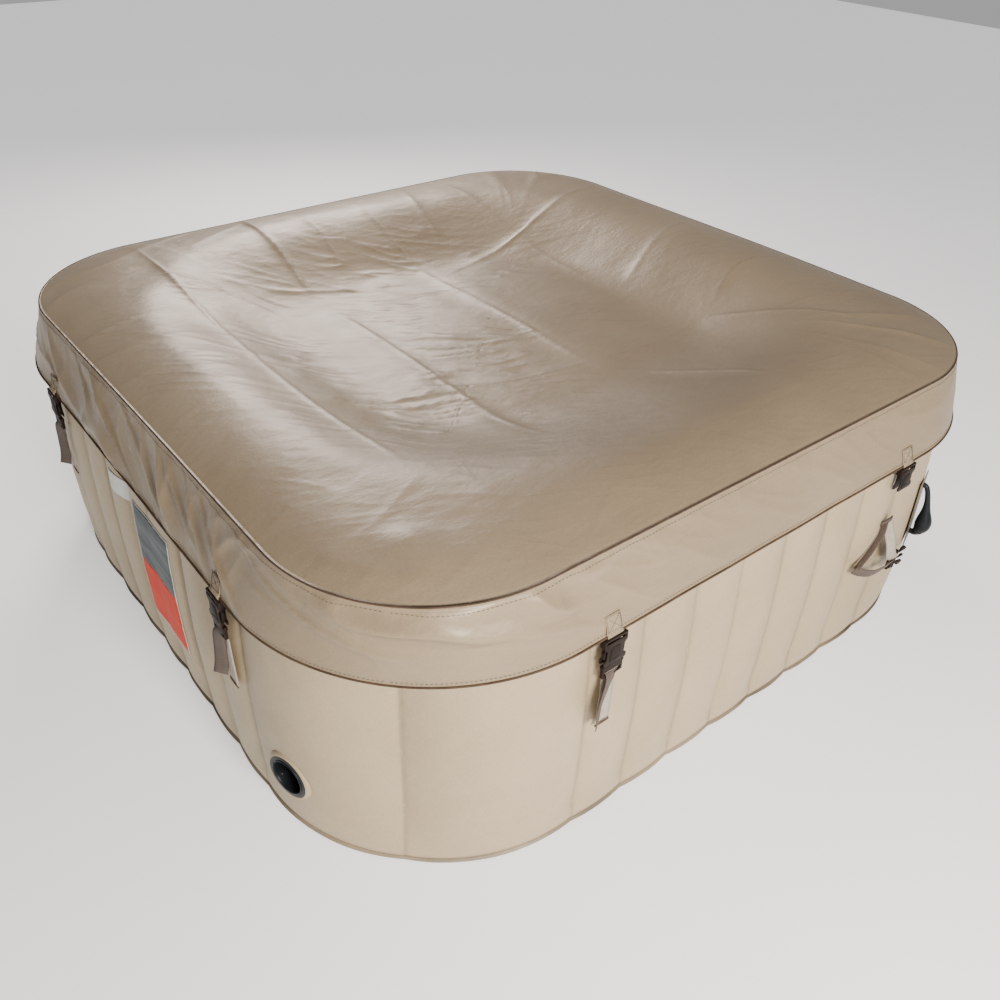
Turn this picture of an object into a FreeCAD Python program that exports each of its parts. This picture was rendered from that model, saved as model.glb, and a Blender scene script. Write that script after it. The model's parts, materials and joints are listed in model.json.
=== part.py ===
import FreeCAD, Part
import math
import os
import Sketcher

# Square inflatable hot tub with a fitted fabric cover, in millimetres.
# Origin: middle of the footprint, on the ground. +Z is up. The equipment bay is in the
# corner towards +X and -Y, and the fitted cover lifts straight up.

SIZES = {
    "tub_width": (1786, "width over the wall where it meets the ground"),
    "corner_radius": (430, "radius of the wall's corners at the ground"),
    "wall_thickness": (205, "depth of the air chamber, outer skin to inner skin"),
    "crest_height": (652, "height of the inflated wall's top"),
    "skin": (2.5, "thickness of the laminated vinyl sheets"),
    "bulge": (23, "how far the inflated wall stands out above its foot"),
    "flange": (8, "weld flange of the base panel outside the wall"),
    "rib_count": (7, "air chambers along one straight side"),
    "bay_half_angle": (22, "half the sweep of the equipment bay, in degrees"),
    "bay_inner": (240, "inner radius of the equipment case, from the corner's centre"),
    "bay_outer": (412, "outer radius of the equipment case, from the corner's centre"),
    "bay_sill": (545, "height where the skins stop at the equipment lid"),
    "lid_seam": (560, "height of the joint between the tray and the lid"),
    "lid_top": (648, "height of the equipment lid's top"),
    "shell": (3, "thickness of the moulded shells"),
    "column_radius": (330, "radius of the line on which the machinery stands"),
    "cover_top": (668, "height of the fitted cover's flat rim"),
    "cover_under": (657, "height of the cover's underside over the crest"),
    "hem_height": (513, "height of the cover's hem"),
    "hem_width": (1850, "width over the cover's hem"),
    "seam_inset": (48, "how far the cover's top seam lies inside the hem"),
    "basin_floor": (577, "height of the lowest part of the sagging top panel"),
    "basin_mouth": (1366, "width of the sagging top panel where it leaves the wall"),
    "basin_bottom": (960, "width of the lowest part of the sagging top panel"),
    "strap_offset": (435, "distance of each buckle from the middle of its side"),
    "strap_width": (38, "width of the webbing"),
    "webbing": (1.5, "thickness of the webbing"),
    "buckle_width": (54, "width of a buckle socket"),
    "buckle_depth": (14, "thickness of a buckle socket"),
    "buckle_height": (60, "height of a buckle socket"),
    "socket_foot": (446, "height of the lower end of a fastened buckle's socket"),
    "drain_azimuth": (-75, "direction of the drain from the corner's centre, in degrees"),
    "drain_height": (148, "height of the drain's axis"),
    "drain_flange": (48, "radius of the drain's welded flange"),
    "drain_bore": (36, "radius of the drain's recess"),
    "valve_height": (400, "height of the inflation valve's axis"),
    "valve_offset": (132, "distance of the inflation valve from the middle of its side"),
    "button_radius": (9, "radius of a control button"),
    "filter_height": (150, "height of the filter's axis"),
    "nozzle_height": (345, "height of the return nozzle's axis"),
    "open_plug_y": (515, "distance of the unfastened plug's middle from the middle of its side"),
    "open_plug_z": (212, "height of the unfastened plug's middle"),
    "gap": (0.5, "clearance between neighbouring parts"),
}
SIDES = 4
BUTTONS = ("power", "heat", "bubble", "filter", "warmer", "cooler")
BUTTON_ARC = 320  # radius of the row of buttons, from the corner's centre
BUTTON_STEP = 5.6  # degrees between two buttons
OPEN_BUCKLE = 2  # number of the buckle that hangs unfastened
OPEN_TURN = -98  # degrees that the unfastened plug has turned about the wall's outward axis

doc = FreeCAD.newDocument("hot_tub")
sheet = doc.addObject("Spreadsheet::Sheet", "sizes")
for row, (alias, (number, note)) in enumerate(SIZES.items(), start=1):
    sheet.set(f"A{row}", note)
    sheet.set(f"B{row}", str(number))
    sheet.setAlias(f"B{row}", alias)
doc.recompute()


class Dim:
    """A size: its number now, and the expression that binds it to the sheet."""

    def __init__(self, number, text):
        self.number = number
        self.text = text

    def joined(self, other, sign, number):
        return Dim(number, f"({self.text} {sign} {as_dim(other).text})")

    def __add__(self, other):
        return self.joined(other, "+", self.number + as_dim(other).number)

    def __sub__(self, other):
        return self.joined(other, "-", self.number - as_dim(other).number)

    def __mul__(self, other):
        return self.joined(other, "*", self.number * as_dim(other).number)

    def __truediv__(self, other):
        return self.joined(other, "/", self.number / as_dim(other).number)

    def __radd__(self, other):
        return as_dim(other) + self

    def __rsub__(self, other):
        return as_dim(other) - self

    def __rmul__(self, other):
        return as_dim(other) * self

    def __neg__(self):
        return self * -1


def as_dim(size):
    return size if isinstance(size, Dim) else Dim(float(size), f"({float(size):.6f})")


def dim(alias):
    return Dim(float(sheet.get(alias)), f"sizes.{alias}")


half = dim("tub_width") / 2
corner_r = dim("corner_radius")
centre = half - corner_r  # distance of a corner's centre from the middle of the tub
skin = dim("skin")
gap = dim("gap")
shell = dim("shell")
crest = dim("crest_height")
inner_r = corner_r - dim("wall_thickness")
parts = []


def bind(thing, **sizes):
    """Sets properties of an object; a Dim becomes an expression on the sheet."""
    for name, size in sizes.items():
        if isinstance(size, Dim):
            thing.setExpression(name, size.text)
        else:
            setattr(thing, name, size)
    return thing


def place(thing, at, turn=None):
    """Moves an object to a point whose coordinates may be Dims."""
    point = [as_dim(value) for value in at]
    turn = turn or FreeCAD.Rotation()
    thing.Placement = FreeCAD.Placement(FreeCAD.Vector(*[p.number for p in point]), turn)
    for axis, value in zip("xyz", point):
        thing.setExpression(f"Placement.Base.{axis}", value.text)
    return thing


def box(name, size, at, turn=None):
    """A block whose corner is at the given point before it is turned about that corner."""
    thing = doc.addObject("Part::Box", name)
    bind(thing, Length=as_dim(size[0]), Width=as_dim(size[1]), Height=as_dim(size[2]))
    return place(thing, at, turn)


def cylinder(name, radius, length, at, turn=None):
    thing = doc.addObject("Part::Cylinder", name)
    bind(thing, Radius=as_dim(radius), Height=as_dim(length))
    return place(thing, at, turn)


def cut(name, base, tool):
    thing = doc.addObject("Part::Cut", name)
    thing.Base = base
    thing.Tool = tool
    return thing


def fuse(name, things):
    thing = doc.addObject("Part::MultiFuse", name)
    thing.Shapes = things
    return thing


def group(name, things):
    """Several separate solids that are one sub-part."""
    thing = doc.addObject("Part::Compound", name)
    thing.Links = things
    return thing


def part(thing, label):
    """Marks an object as a finished sub-part; its label names its file."""
    thing.Label = label
    parts.append(thing)
    return thing


def about_z(degrees):
    return FreeCAD.Rotation(FreeCAD.Vector(0, 0, 1), degrees)


def outline(name, points, at, turn):
    """A closed sketch of straight lines through points with two Dims each, none of them zero."""
    sketch = doc.addObject("Sketcher::SketchObject", name)
    place(sketch, at, turn)
    corners = [(as_dim(across), as_dim(up)) for across, up in points]
    spots = [FreeCAD.Vector(across.number, up.number, 0) for across, up in corners]
    count = len(spots)
    for i in range(count):
        sketch.addGeometry(Part.LineSegment(spots[i], spots[(i + 1) % count]), False)
    for i in range(count):
        sketch.addConstraint(Sketcher.Constraint("Coincident", i, 2, (i + 1) % count, 1))
    for i, (across, up) in enumerate(corners):
        for kind, size in (("DistanceX", across), ("DistanceY", up)):
            index = sketch.addConstraint(Sketcher.Constraint(kind, -1, 1, i, 1, size.number))
            sketch.setExpression(f"Constraints[{index}]", size.text)
    return sketch


UPRIGHT = FreeCAD.Rotation(FreeCAD.Vector(1, 0, 0), 90)  # sketch X stays X, sketch Y becomes Z


def corner_place(quarter):
    """The centre of a corner, after that many quarter turns from the corner at +X, +Y."""
    signs = ((1, 1), (-1, 1), (-1, -1), (1, -1))[quarter]
    return centre * signs[0], centre * signs[1]


def swept(name, points, quarter, start, sweep):
    """A profile of (radius, height) revolved about a corner's upright centre line."""
    x, y = corner_place(quarter)
    turn = about_z(start).multiply(UPRIGHT)
    profile = outline(name + "_profile", points, (x, y, 0), turn)
    thing = doc.addObject("Part::Revolution", name)
    bind(thing, Source=profile, Axis=FreeCAD.Vector(0, 0, 1), Solid=True)
    thing.Base = FreeCAD.Vector(x.number, y.number, 0)
    thing.setExpression("Base.x", x.text)
    thing.setExpression("Base.y", y.text)
    return bind(thing, Angle=as_dim(sweep))


def straight(name, points, quarter):
    """The same profile run along the straight side that starts at a corner."""
    x, y = corner_place((quarter + 3) % SIDES)
    turn = about_z(90 * quarter).multiply(UPRIGHT)
    profile = outline(name + "_profile", points, (x, y, 0), turn)
    thing = doc.addObject("Part::Extrusion", name)
    bind(thing, Base=profile, DirMode="Normal", Solid=True, Reversed=True)
    return bind(thing, LengthFwd=centre * 2)


def ring(name, points):
    """Four straight runs and four corners of one profile round the whole tub."""
    runs = [straight(f"{name}_side_{k}", points, k) for k in range(SIDES)]
    turns = [swept(f"{name}_corner_{k}", points, k, 90 * k, 90) for k in range(SIDES)]
    return runs, turns


def rounded_square(body, name, width, radius, height):
    """A sketch of a square with round corners, level, at the given height."""
    sketch = body.newObject("Sketcher::SketchObject", name)
    plane = [f for f in body.Origin.OriginFeatures if f.Role == "XY_Plane"][0]
    sketch.AttachmentSupport = (plane, "")
    sketch.MapMode = "FlatFace"
    sketch.setExpression("AttachmentOffset.Base.z", as_dim(height).text)
    side, round_ = as_dim(width) / 2, as_dim(radius)
    c, s, r = (side - round_).number, side.number, round_.number
    for k in range(SIDES):
        turn = about_z(90 * k)
        ends = [turn.multVec(FreeCAD.Vector(s, y, 0)) for y in (-c, c)]
        sketch.addGeometry(Part.LineSegment(*ends), False)
    for k in range(SIDES):
        middle = about_z(90 * k).multVec(FreeCAD.Vector(c, c, 0))
        circle = Part.Circle(middle, FreeCAD.Vector(0, 0, 1), r)
        arc = Part.ArcOfCircle(circle, math.radians(90 * k), math.radians(90 * k + 90))
        sketch.addGeometry(arc, False)
    for k in range(SIDES):
        sketch.addConstraint(Sketcher.Constraint("Tangent", k, 2, SIDES + k, 1))
        sketch.addConstraint(Sketcher.Constraint("Tangent", SIDES + k, 2, (k + 1) % SIDES, 1))
    for k in range(1, SIDES):
        sketch.addConstraint(Sketcher.Constraint("Equal", SIDES, SIDES + k))
    first, second, third, fourth = range(SIDES, 2 * SIDES)
    sketch.addConstraint(Sketcher.Constraint("Symmetric", first, 3, third, 3, -1, 1))
    sketch.addConstraint(Sketcher.Constraint("Symmetric", second, 3, fourth, 3, -1, 1))
    sketch.addConstraint(Sketcher.Constraint("Symmetric", first, 3, second, 3, -2))
    reach = side - round_
    for kind, size, target in (
        ("DistanceX", reach, (-1, 1, first, 3)),
        ("DistanceY", reach, (-1, 1, first, 3)),
        ("Radius", round_, (first,)),
    ):
        index = sketch.addConstraint(Sketcher.Constraint(kind, *target, size.number))
        sketch.setExpression(f"Constraints[{index}]", size.text)
    return sketch


def plate_body(name, width, radius, low, thickness):
    body = doc.addObject("PartDesign::Body", name)
    sketch = rounded_square(body, name + "_outline", width, radius, low)
    pad = body.newObject("PartDesign::Pad", name + "_pad")
    pad.Profile = sketch
    bind(pad, Length=as_dim(thickness))
    return body


def bowl_body(name, sections):
    """A solid lofted through rounded squares, each (width, radius, height)."""
    body = doc.addObject("PartDesign::Body", name)
    sketches = [
        rounded_square(body, f"{name}_section_{i}", *section)
        for i, section in enumerate(sections)
    ]
    loft = body.newObject("PartDesign::AdditiveLoft", name + "_loft")
    loft.Profile = sketches[0]
    loft.Sections = sketches[1:]
    loft.Ruled = True
    return body


def quarter_turned(x, y, quarter):
    """A point turned about the tub's middle by quarter turns."""
    return ((x, y), (-y, x), (-x, -y), (y, -x))[quarter]


# The equipment bay's own directions: u outward from the corner's centre, v along the wall.
BAY_AZIMUTH = -45
BAY_CORNER = 3
U_AXIS = about_z(BAY_AZIMUTH).multiply(FreeCAD.Rotation(FreeCAD.Vector(0, 1, 0), 90))
V_AXIS = about_z(BAY_AZIMUTH).multiply(FreeCAD.Rotation(FreeCAD.Vector(1, 0, 0), -90))


def bay(u, v, z):
    """A point of the equipment bay in the tub's frame."""
    slope = math.sqrt(0.5)
    u, v = as_dim(u), as_dim(v)
    return centre + (u + v) * slope, -centre + (v - u) * slope, z


def sector(name, points, sweep):
    """A profile revolved about the bay corner's centre line, centred on the bay's diagonal."""
    sweep = as_dim(sweep)
    return swept(name, points, BAY_CORNER, BAY_AZIMUTH - sweep.number / 2, sweep)


def band(low_r, high_r, low, high):
    """The rectangle between two radii and two heights."""
    return [(low_r, low), (high_r, low), (high_r, high), (low_r, high)]


def along_u(name, radius, start, end, v, z):
    """A cylinder along u from one u to another."""
    return cylinder(name, radius, as_dim(end) - start, bay(start, v, z), U_AXIS)


def along_v(name, radius, start, end, u, z):
    return cylinder(name, radius, as_dim(end) - start, bay(u, start, z), V_AXIS)


def post(name, radius, low, high, u, v):
    """An upright cylinder in the equipment bay."""
    return cylinder(name, radius, as_dim(high) - low, bay(u, v, low))


# ---- Base, floor and the two skins of the wall -------------------------------------------
foot = shell
floor_top = foot + shell
bulge = dim("bulge")
mid_wall = (corner_r + inner_r) / 2
filter_z = dim("filter_height")
nozzle_z = dim("nozzle_height")
column = dim("column_radius")

PIPE = 12  # outer radius of the water pipes
AIR_PIPE = 9
AIR_PIPE_HEIGHT = 22
AIR_PIPE_V = 75

part(plate_body("base", dim("tub_width") + dim("flange") * 2, corner_r + dim("flange"), 0, foot),
     "base_panel")
part(plate_body("floor", (centre + inner_r - gap) * 2, inner_r - gap, foot, shell), "floor_liner")

outer_profile = [
    (corner_r, foot),
    (corner_r + bulge * 0.7, 120),
    (corner_r + bulge, 330),
    (corner_r + bulge * 0.85, 520),
    (corner_r - 5, crest - 47),
    (corner_r - 45, crest - 12),
    (mid_wall, crest),
    (mid_wall, crest - skin),
    (corner_r - 45 - skin * 0.5, crest - 12 - skin),
    (corner_r - 5 - skin, crest - 47 - skin * 0.5),
    (corner_r + bulge * 0.85 - skin, 520),
    (corner_r + bulge - skin, 330),
    (corner_r + bulge * 0.7 - skin, 120),
    (corner_r - skin, foot),
]
inner_profile = [
    (inner_r, foot),
    (inner_r, 560),
    (inner_r + 12, crest - 42),
    (inner_r + 50, crest - 10),
    (mid_wall, crest),
    (mid_wall, crest - skin),
    (inner_r + 50 + skin * 0.5, crest - 10 - skin),
    (inner_r + 12 + skin, crest - 42 - skin * 0.5),
    (inner_r + skin, 560),
    (inner_r + skin, foot),
]
outer_runs, outer_turns = ring("outer", outer_profile)
inner_runs, inner_turns = ring("inner", inner_profile)

# The wall's skins stop round the equipment lid, and open for the pipes and the fittings.
half_angle = dim("bay_half_angle")
CLEAR_ANGLE = 0.5


def bay_cutter(name):
    return sector(name, band(150, 520, dim("bay_sill"), crest + 60), (half_angle + CLEAR_ANGLE) * 2)


def pipe_cutters(name):
    """The holes for the suction pipe, the return pipe and the air pipe."""
    return [
        along_u(name + "_suction", PIPE + gap, 190, 260, 0, filter_z),
        along_u(name + "_return", PIPE + gap, 190, 260, 0, nozzle_z),
        along_u(name + "_air", AIR_PIPE + gap, 190, 260, AIR_PIPE_V, AIR_PIPE_HEIGHT),
    ]


drain_dir = float(dim("drain_azimuth").number)
DRAIN_AXIS = about_z(drain_dir).multiply(FreeCAD.Rotation(FreeCAD.Vector(0, 1, 0), 90))
drain_skin = corner_r + bulge * 0.84  # radius of the wall's face at the drain


def drain_cylinder(name, radius, start, end):
    """A cylinder on the drain's axis, between two radii from the corner's centre."""
    start = as_dim(start)
    x, y = corner_place(BAY_CORNER)
    azimuth = math.radians(drain_dir)
    at = (x + start * math.cos(azimuth), y + start * math.sin(azimuth), dim("drain_height"))
    return cylinder(name, radius, as_dim(end) - start, at, DRAIN_AXIS)


INWARD_FROM_WEST = FreeCAD.Rotation(FreeCAD.Vector(0, 1, 0), 90)
valve_skin = half + bulge * 0.95  # distance of the wall's face from the middle at the valve


def valve_cylinder(name, radius, depth, length):
    """A cylinder on the inflation valve's axis; depth counts from the wall's face, inward."""
    at = (-valve_skin + depth, dim("valve_offset"), dim("valve_height"))
    return cylinder(name, radius, length, at, INWARD_FROM_WEST)


drain_body_r = dim("drain_bore") + shell
hole = drain_cylinder("drain_hole", drain_body_r + gap, corner_r - 40, corner_r + 60)
tools = fuse("outer_bay_tools", [bay_cutter("outer_bay_cutter"), hole])
outer_turns[BAY_CORNER] = cut("outer_bay_corner", outer_turns[BAY_CORNER], tools)
VALVE_R = 24
hole = valve_cylinder("valve_hole", VALVE_R + gap, -20, 60)
outer_runs[2] = cut("outer_valve_side", outer_runs[2], hole)
tools = fuse("inner_bay_tools", [bay_cutter("inner_bay_cutter")] + pipe_cutters("inner_hole"))
inner_turns[BAY_CORNER] = cut("inner_bay_corner", inner_turns[BAY_CORNER], tools)
part(group("outer_wall", outer_runs + outer_turns), "outer_wall")
part(group("inner_wall", inner_runs + inner_turns), "inner_wall")

bubble_profile = [
    (inner_r - 50, floor_top + gap),
    (inner_r - gap, floor_top + gap),
    (inner_r - gap, floor_top + 24),
    (inner_r - 35, floor_top + 30),
    (inner_r - 50, floor_top + 14),
]
bubble_runs, bubble_turns = ring("bubble", bubble_profile)
part(group("bubble_channel", bubble_runs + bubble_turns), "bubble_channel")


def baffles():
    """The upright webs that hold the two skins together, one between every two chambers."""
    web = 2
    low_r, high_r = inner_r + 16, corner_r - 12
    size = (high_r - low_r, web, crest - 58)
    low = foot + shell
    step = centre * 2 / dim("rib_count")
    webs = []
    for k in range(SIDES):
        for j in range(int(dim("rib_count").number) + 1):
            along = -centre + step * j - web / 2
            x, y = quarter_turned(centre + low_r, along, k)
            webs.append(box(f"web_{k}_{j}", size, (x, y, low), about_z(90 * k)))
        if k != BAY_CORNER:
            azimuth = math.radians(90 * k + 45)
            x, y = corner_place(k)
            at = (x + low_r * math.cos(azimuth), y + low_r * math.sin(azimuth), low)
            webs.append(box(f"web_corner_{k}", size, at, about_z(90 * k + 45)))
    return group("baffles", webs)


part(baffles(), "wall_baffles")

# ---- Equipment case in the bay corner ------------------------------------------------------
bay_in, bay_out = dim("bay_inner"), dim("bay_outer")
lid_seam, lid_top = dim("lid_seam"), dim("lid_top")
sweep_out = half_angle * 2
sweep_in = sweep_out - 1.6
tray_low = foot + 5

tray_block = sector("tray_block", band(bay_in, bay_out, tray_low, lid_seam), sweep_out)
tray_room = sector(
    "tray_room", band(bay_in + shell, bay_out - shell, tray_low + shell, lid_seam + 5), sweep_in
)
tray_tools = fuse("tray_tools", [tray_room] + pipe_cutters("tray_hole"))
part(cut("tray", tray_block, tray_tools), "equipment_tray")


def lid_profile(wall):
    """The lid's section, drawn in by the thickness of its wall."""
    slope = 16 - wall * 0.4
    low_r, high_r, top = bay_in + wall, bay_out - wall, lid_top - wall
    return [
        (low_r, lid_seam),
        (high_r, lid_seam),
        (high_r, top - slope),
        (high_r - slope, top),
        (low_r + slope, top),
        (low_r, top - slope),
    ]


PANEL_IN, PANEL_OUT, PANEL_SWEEP = 284, 371, 36
gland_z = (lid_seam + lid_top) / 2 - 26
lid_block = sector("lid_block", lid_profile(0), sweep_out)
lid_tools = fuse("lid_tools", [
    sector("lid_room", lid_profile(shell.number), sweep_in),
    sector("panel_hole", band(PANEL_IN - gap, PANEL_OUT + gap, 600, 700), PANEL_SWEEP + 0.3),
    along_u("gland_hole", 7 + gap, bay_out - 10, bay_out + 10, 0, gland_z),
])
part(cut("lid", lid_block, lid_tools), "equipment_lid")

gland = fuse("gland", [
    along_u("gland_neck", 7, bay_out - 14, bay_out + gap, 0, gland_z),
    along_u("gland_nut", 10, bay_out + gap * 0.5, bay_out + 12, 0, gland_z),
])
gland_bore = along_u("gland_bore", 3.5, bay_out - 20, bay_out + 20, 0, gland_z)
part(cut("power_gland", gland, gland_bore), "power_gland")


def button_place(index):
    """The bay coordinates of a control button."""
    azimuth = math.radians((index - (len(BUTTONS) - 1) / 2) * BUTTON_STEP)
    return BUTTON_ARC * math.cos(azimuth), BUTTON_ARC * math.sin(azimuth)


WINDOW_IN, WINDOW_OUT, WINDOW_SWEEP = 338, 364, 15
button_r = dim("button_radius")
bezel_tools = [
    sector("window_hole", band(WINDOW_IN, WINDOW_OUT, 630, 700), WINDOW_SWEEP),
]
for i, name in enumerate(BUTTONS):
    u, v = button_place(i)
    bezel_tools.append(post(f"hole_{name}", button_r + gap, 630, 700, u, v))
bezel_block = fuse("bezel_block", [
    sector("bezel_plate", band(PANEL_IN - 7, PANEL_OUT + 7, lid_top, lid_top + 2.5), 38),
    sector("bezel_lip", band(PANEL_IN, PANEL_OUT, lid_top - 8, lid_top + 1), PANEL_SWEEP),
])
part(cut("bezel", bezel_block, fuse("bezel_tools", bezel_tools)), "panel_bezel")
window_band = band(WINDOW_IN + gap, WINDOW_OUT - gap, lid_top - 4, lid_top + 1.5)
part(sector("window", window_band, WINDOW_SWEEP - 0.3), "display_window")
part(box("board", (84, 150, 1.6), bay(285, -75, lid_top - 22), about_z(BAY_AZIMUTH)), "circuit_board")
for i, name in enumerate(BUTTONS):
    u, v = button_place(i)
    part(post(f"button_{name}", button_r, lid_top - 5, lid_top + 5, u, v), f"button_{name}")

# ---- Filter pump, heater and return --------------------------------------------------------
VOLUTE_R, VOLUTE_LOW, VOLUTE_HIGH = 60, 120, 180
SHAFT_R, SHAFT_FIT = 4, 0.05
HEATER_V = -90
MOTOR_TOP = 290


def rotor(name, radius, low, high, shaft_top, v):
    """A wheel with a hub and a shaft that reaches up into its motor."""
    return fuse(name, [
        post(name + "_disc", radius, low, low + 3, column, v),
        post(name + "_hub", SHAFT_R * 2.5, low, high, column, v),
        post(name + "_shaft", SHAFT_R, low, shaft_top, column, v),
    ] + [
        box(f"{name}_vane_{k}", (radius - 8, 2, high - low), bay(column, v, low),
            about_z(BAY_AZIMUTH + 60 * k))
        for k in range(6)
    ])


def pump_casing(name, radius, low, high, v, port):
    """A closed drum with a shaft hole in its top and one port, cut by another solid."""
    wall = 6
    tools = fuse(name + "_tools", [
        post(name + "_room", radius - wall, low + wall, high - wall, column, v),
        post(name + "_shaft_hole", SHAFT_R + 2, high - wall - 1, high + 1, column, v),
        port,
    ])
    return cut(name, post(name + "_drum", radius, low, high, column, v), tools)


def motor(name, radius, low, high, shaft_top, v):
    bore = post(name + "_bore", SHAFT_R + SHAFT_FIT, low - 1, shaft_top + 2, column, v)
    return cut(name, post(name + "_can", radius, low, high, column, v), bore)


suction_port = along_u("volute_port", PIPE - 3, column - 70, column - 40, 0, filter_z)
part(pump_casing("pump_volute", VOLUTE_R, VOLUTE_LOW, VOLUTE_HIGH, 0, suction_port), "pump_housing")
part(rotor("impeller", 42, VOLUTE_LOW + 14, VOLUTE_HIGH - 20, 215, 0), "pump_impeller")
part(motor("pump_can", 40, VOLUTE_HIGH, MOTOR_TOP, 215, 0), "pump_motor")

heater_wall = post("heater_wall", 22, VOLUTE_LOW, 325, column, HEATER_V)
heater_room = post("heater_room", 19, VOLUTE_LOW + 3, 322, column, HEATER_V)
part(cut("heater", heater_wall, heater_room), "heater_tube")
part(post("element", 5, VOLUTE_LOW + 8, 318, column, HEATER_V), "heater_element")
supply_end = HEATER_V + 22
part(along_v("supply", PIPE - 2, supply_end + 0.2, -VOLUTE_R - 0.2, column, filter_z), "supply_pipe")


def elbow(name, at):
    ball = doc.addObject("Part::Sphere", name)
    bind(ball, Radius=as_dim(PIPE))
    return place(ball, at)


part(fuse("return_line", [
    post("return_riser", PIPE, 325, nozzle_z, column, HEATER_V),
    elbow("return_elbow_low", bay(column, HEATER_V, nozzle_z)),
    along_v("return_cross", PIPE, HEATER_V, 0, column, nozzle_z),
    elbow("return_elbow_high", bay(column, 0, nozzle_z)),
    along_u("return_run", PIPE, 222, column, 0, nozzle_z),
]), "return_pipe")
part(along_u("suction", PIPE, 219.5, column - VOLUTE_R - 0.2, 0, filter_z), "suction_pipe")
nozzle_body = along_u("nozzle_body", 18, 195, 222, 0, nozzle_z)
nozzle_bore = along_u("nozzle_bore", 9, 190, 225, 0, nozzle_z)
part(cut("nozzle", nozzle_body, nozzle_bore), "return_nozzle")

filter_drum = along_u("filter_drum", 46, 165, 219.5, 0, filter_z)
filter_room = along_u("filter_room", 40, 160, 212, 0, filter_z)
part(cut("filter_base", filter_drum, filter_room), "filter_housing")
part(fuse("filter_media", [
    along_u("filter_pleats", 48, 100, 164.5, 0, filter_z),
    along_u("filter_spigot", 38, 160, 205, 0, filter_z),
]), "filter_cartridge")
part(along_u("filter_plate", 52, 92, 99.7, 0, filter_z), "filter_end_cap")

# ---- Air blower ----------------------------------------------------------------------------
BLOWER_V, BLOWER_R, BLOWER_LOW, BLOWER_HIGH = 35, 58, 365, 425
outlet = post("blower_port", AIR_PIPE - 2, BLOWER_LOW - 2, BLOWER_LOW + 10, column, AIR_PIPE_V)
part(pump_casing("blower_drum", BLOWER_R, BLOWER_LOW, BLOWER_HIGH, BLOWER_V, outlet), "blower_housing")
part(rotor("fan", 40, BLOWER_LOW + 12, BLOWER_HIGH - 12, 455, BLOWER_V), "blower_fan")
part(motor("blower_can", 34, BLOWER_HIGH, 520, 455, BLOWER_V), "blower_motor")
part(fuse("air_line", [
    post("air_riser", AIR_PIPE, AIR_PIPE_HEIGHT, BLOWER_LOW - 0.2, column, AIR_PIPE_V),
    along_u("air_run", AIR_PIPE, 217, column, AIR_PIPE_V, AIR_PIPE_HEIGHT),
]), "air_pipe")

# ---- Drain ---------------------------------------------------------------------------------
drain_bore = dim("drain_bore")
drain_ring = drain_cylinder("drain_ring", dim("drain_flange"), drain_skin + gap, drain_skin + 3)
drain_eye = drain_cylinder("drain_eye", drain_bore, drain_skin - 10, drain_skin + 10)
part(cut("drain_collar", drain_ring, drain_eye), "drain_flange")
drain_cup = drain_cylinder("drain_cup", drain_body_r, corner_r - 40, drain_skin + gap)
drain_room = fuse("drain_room", [
    drain_cylinder("drain_recess", drain_bore, corner_r - 37, drain_skin + 10),
    drain_cylinder("drain_guide", 8, corner_r - 50, corner_r - 30),
])
part(cut("drain_well", drain_cup, drain_room), "drain_body")
part(fuse("drain_plug", [
    drain_cylinder("drain_stem", 6, corner_r - 60, corner_r - 27),
    drain_cylinder("drain_seal", 20, corner_r - 36, corner_r - 27),
]), "drain_stopper")
cap_knob = drain_cylinder("cap_knob", 27, corner_r - 26.7, corner_r - 10)
cap_bar = box(
    "cap_bar",
    (14, 50, 10),
    (
        corner_place(BAY_CORNER)[0] + (corner_r - 15) * math.cos(math.radians(drain_dir))
        + 25 * math.sin(math.radians(drain_dir)),
        corner_place(BAY_CORNER)[1] + (corner_r - 15) * math.sin(math.radians(drain_dir))
        - 25 * math.cos(math.radians(drain_dir)),
        dim("drain_height") - 5,
    ),
    about_z(drain_dir),
)
part(fuse("drain_knob", [cap_knob, cap_bar]), "drain_cap")

# ---- Inflation valve -----------------------------------------------------------------------
valve_flange = fuse("valve_flange", [
    valve_cylinder("valve_ring", 32, -2, 1.5),
    valve_cylinder("valve_barrel", VALVE_R, -2, 37),
])
valve_room = fuse("valve_room", [
    valve_cylinder("valve_throat", 18, -10, 40),
    valve_cylinder("valve_guide", 3 + SHAFT_FIT, 20, 30),
])
part(cut("valve_seat", valve_flange, valve_room), "air_valve_body")
part(fuse("valve_poppet", [
    valve_cylinder("valve_pin", 3, 6, 36),
    valve_cylinder("valve_disc", 16, 36, 4),
    valve_cylinder("valve_button", 7, 4, 4),
]), "air_valve_stem")
part(fuse("valve_cover", [
    valve_cylinder("valve_cap_disc", 27, -8, 5.5),
    valve_cylinder("valve_cap_plug", 17.5, -3, 5),
]), "air_valve_cap")

# ---- Carry handles -------------------------------------------------------------------------
HANDLE_AZIMUTH = 20  # direction of each handle from its corner's centre
HANDLE_LOW, HANDLE_HIGH = 215, 365
handle_skin = corner_r + bulge


def at_corner(quarter, azimuth, u, v, z):
    """A point by its distance out from a corner's centre along an azimuth, and sideways."""
    x, y = corner_place(quarter)
    a = math.radians(azimuth)
    u, v = as_dim(u), as_dim(v)
    return x + u * math.cos(a) - v * math.sin(a), y + u * math.sin(a) + v * math.cos(a), z


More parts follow.
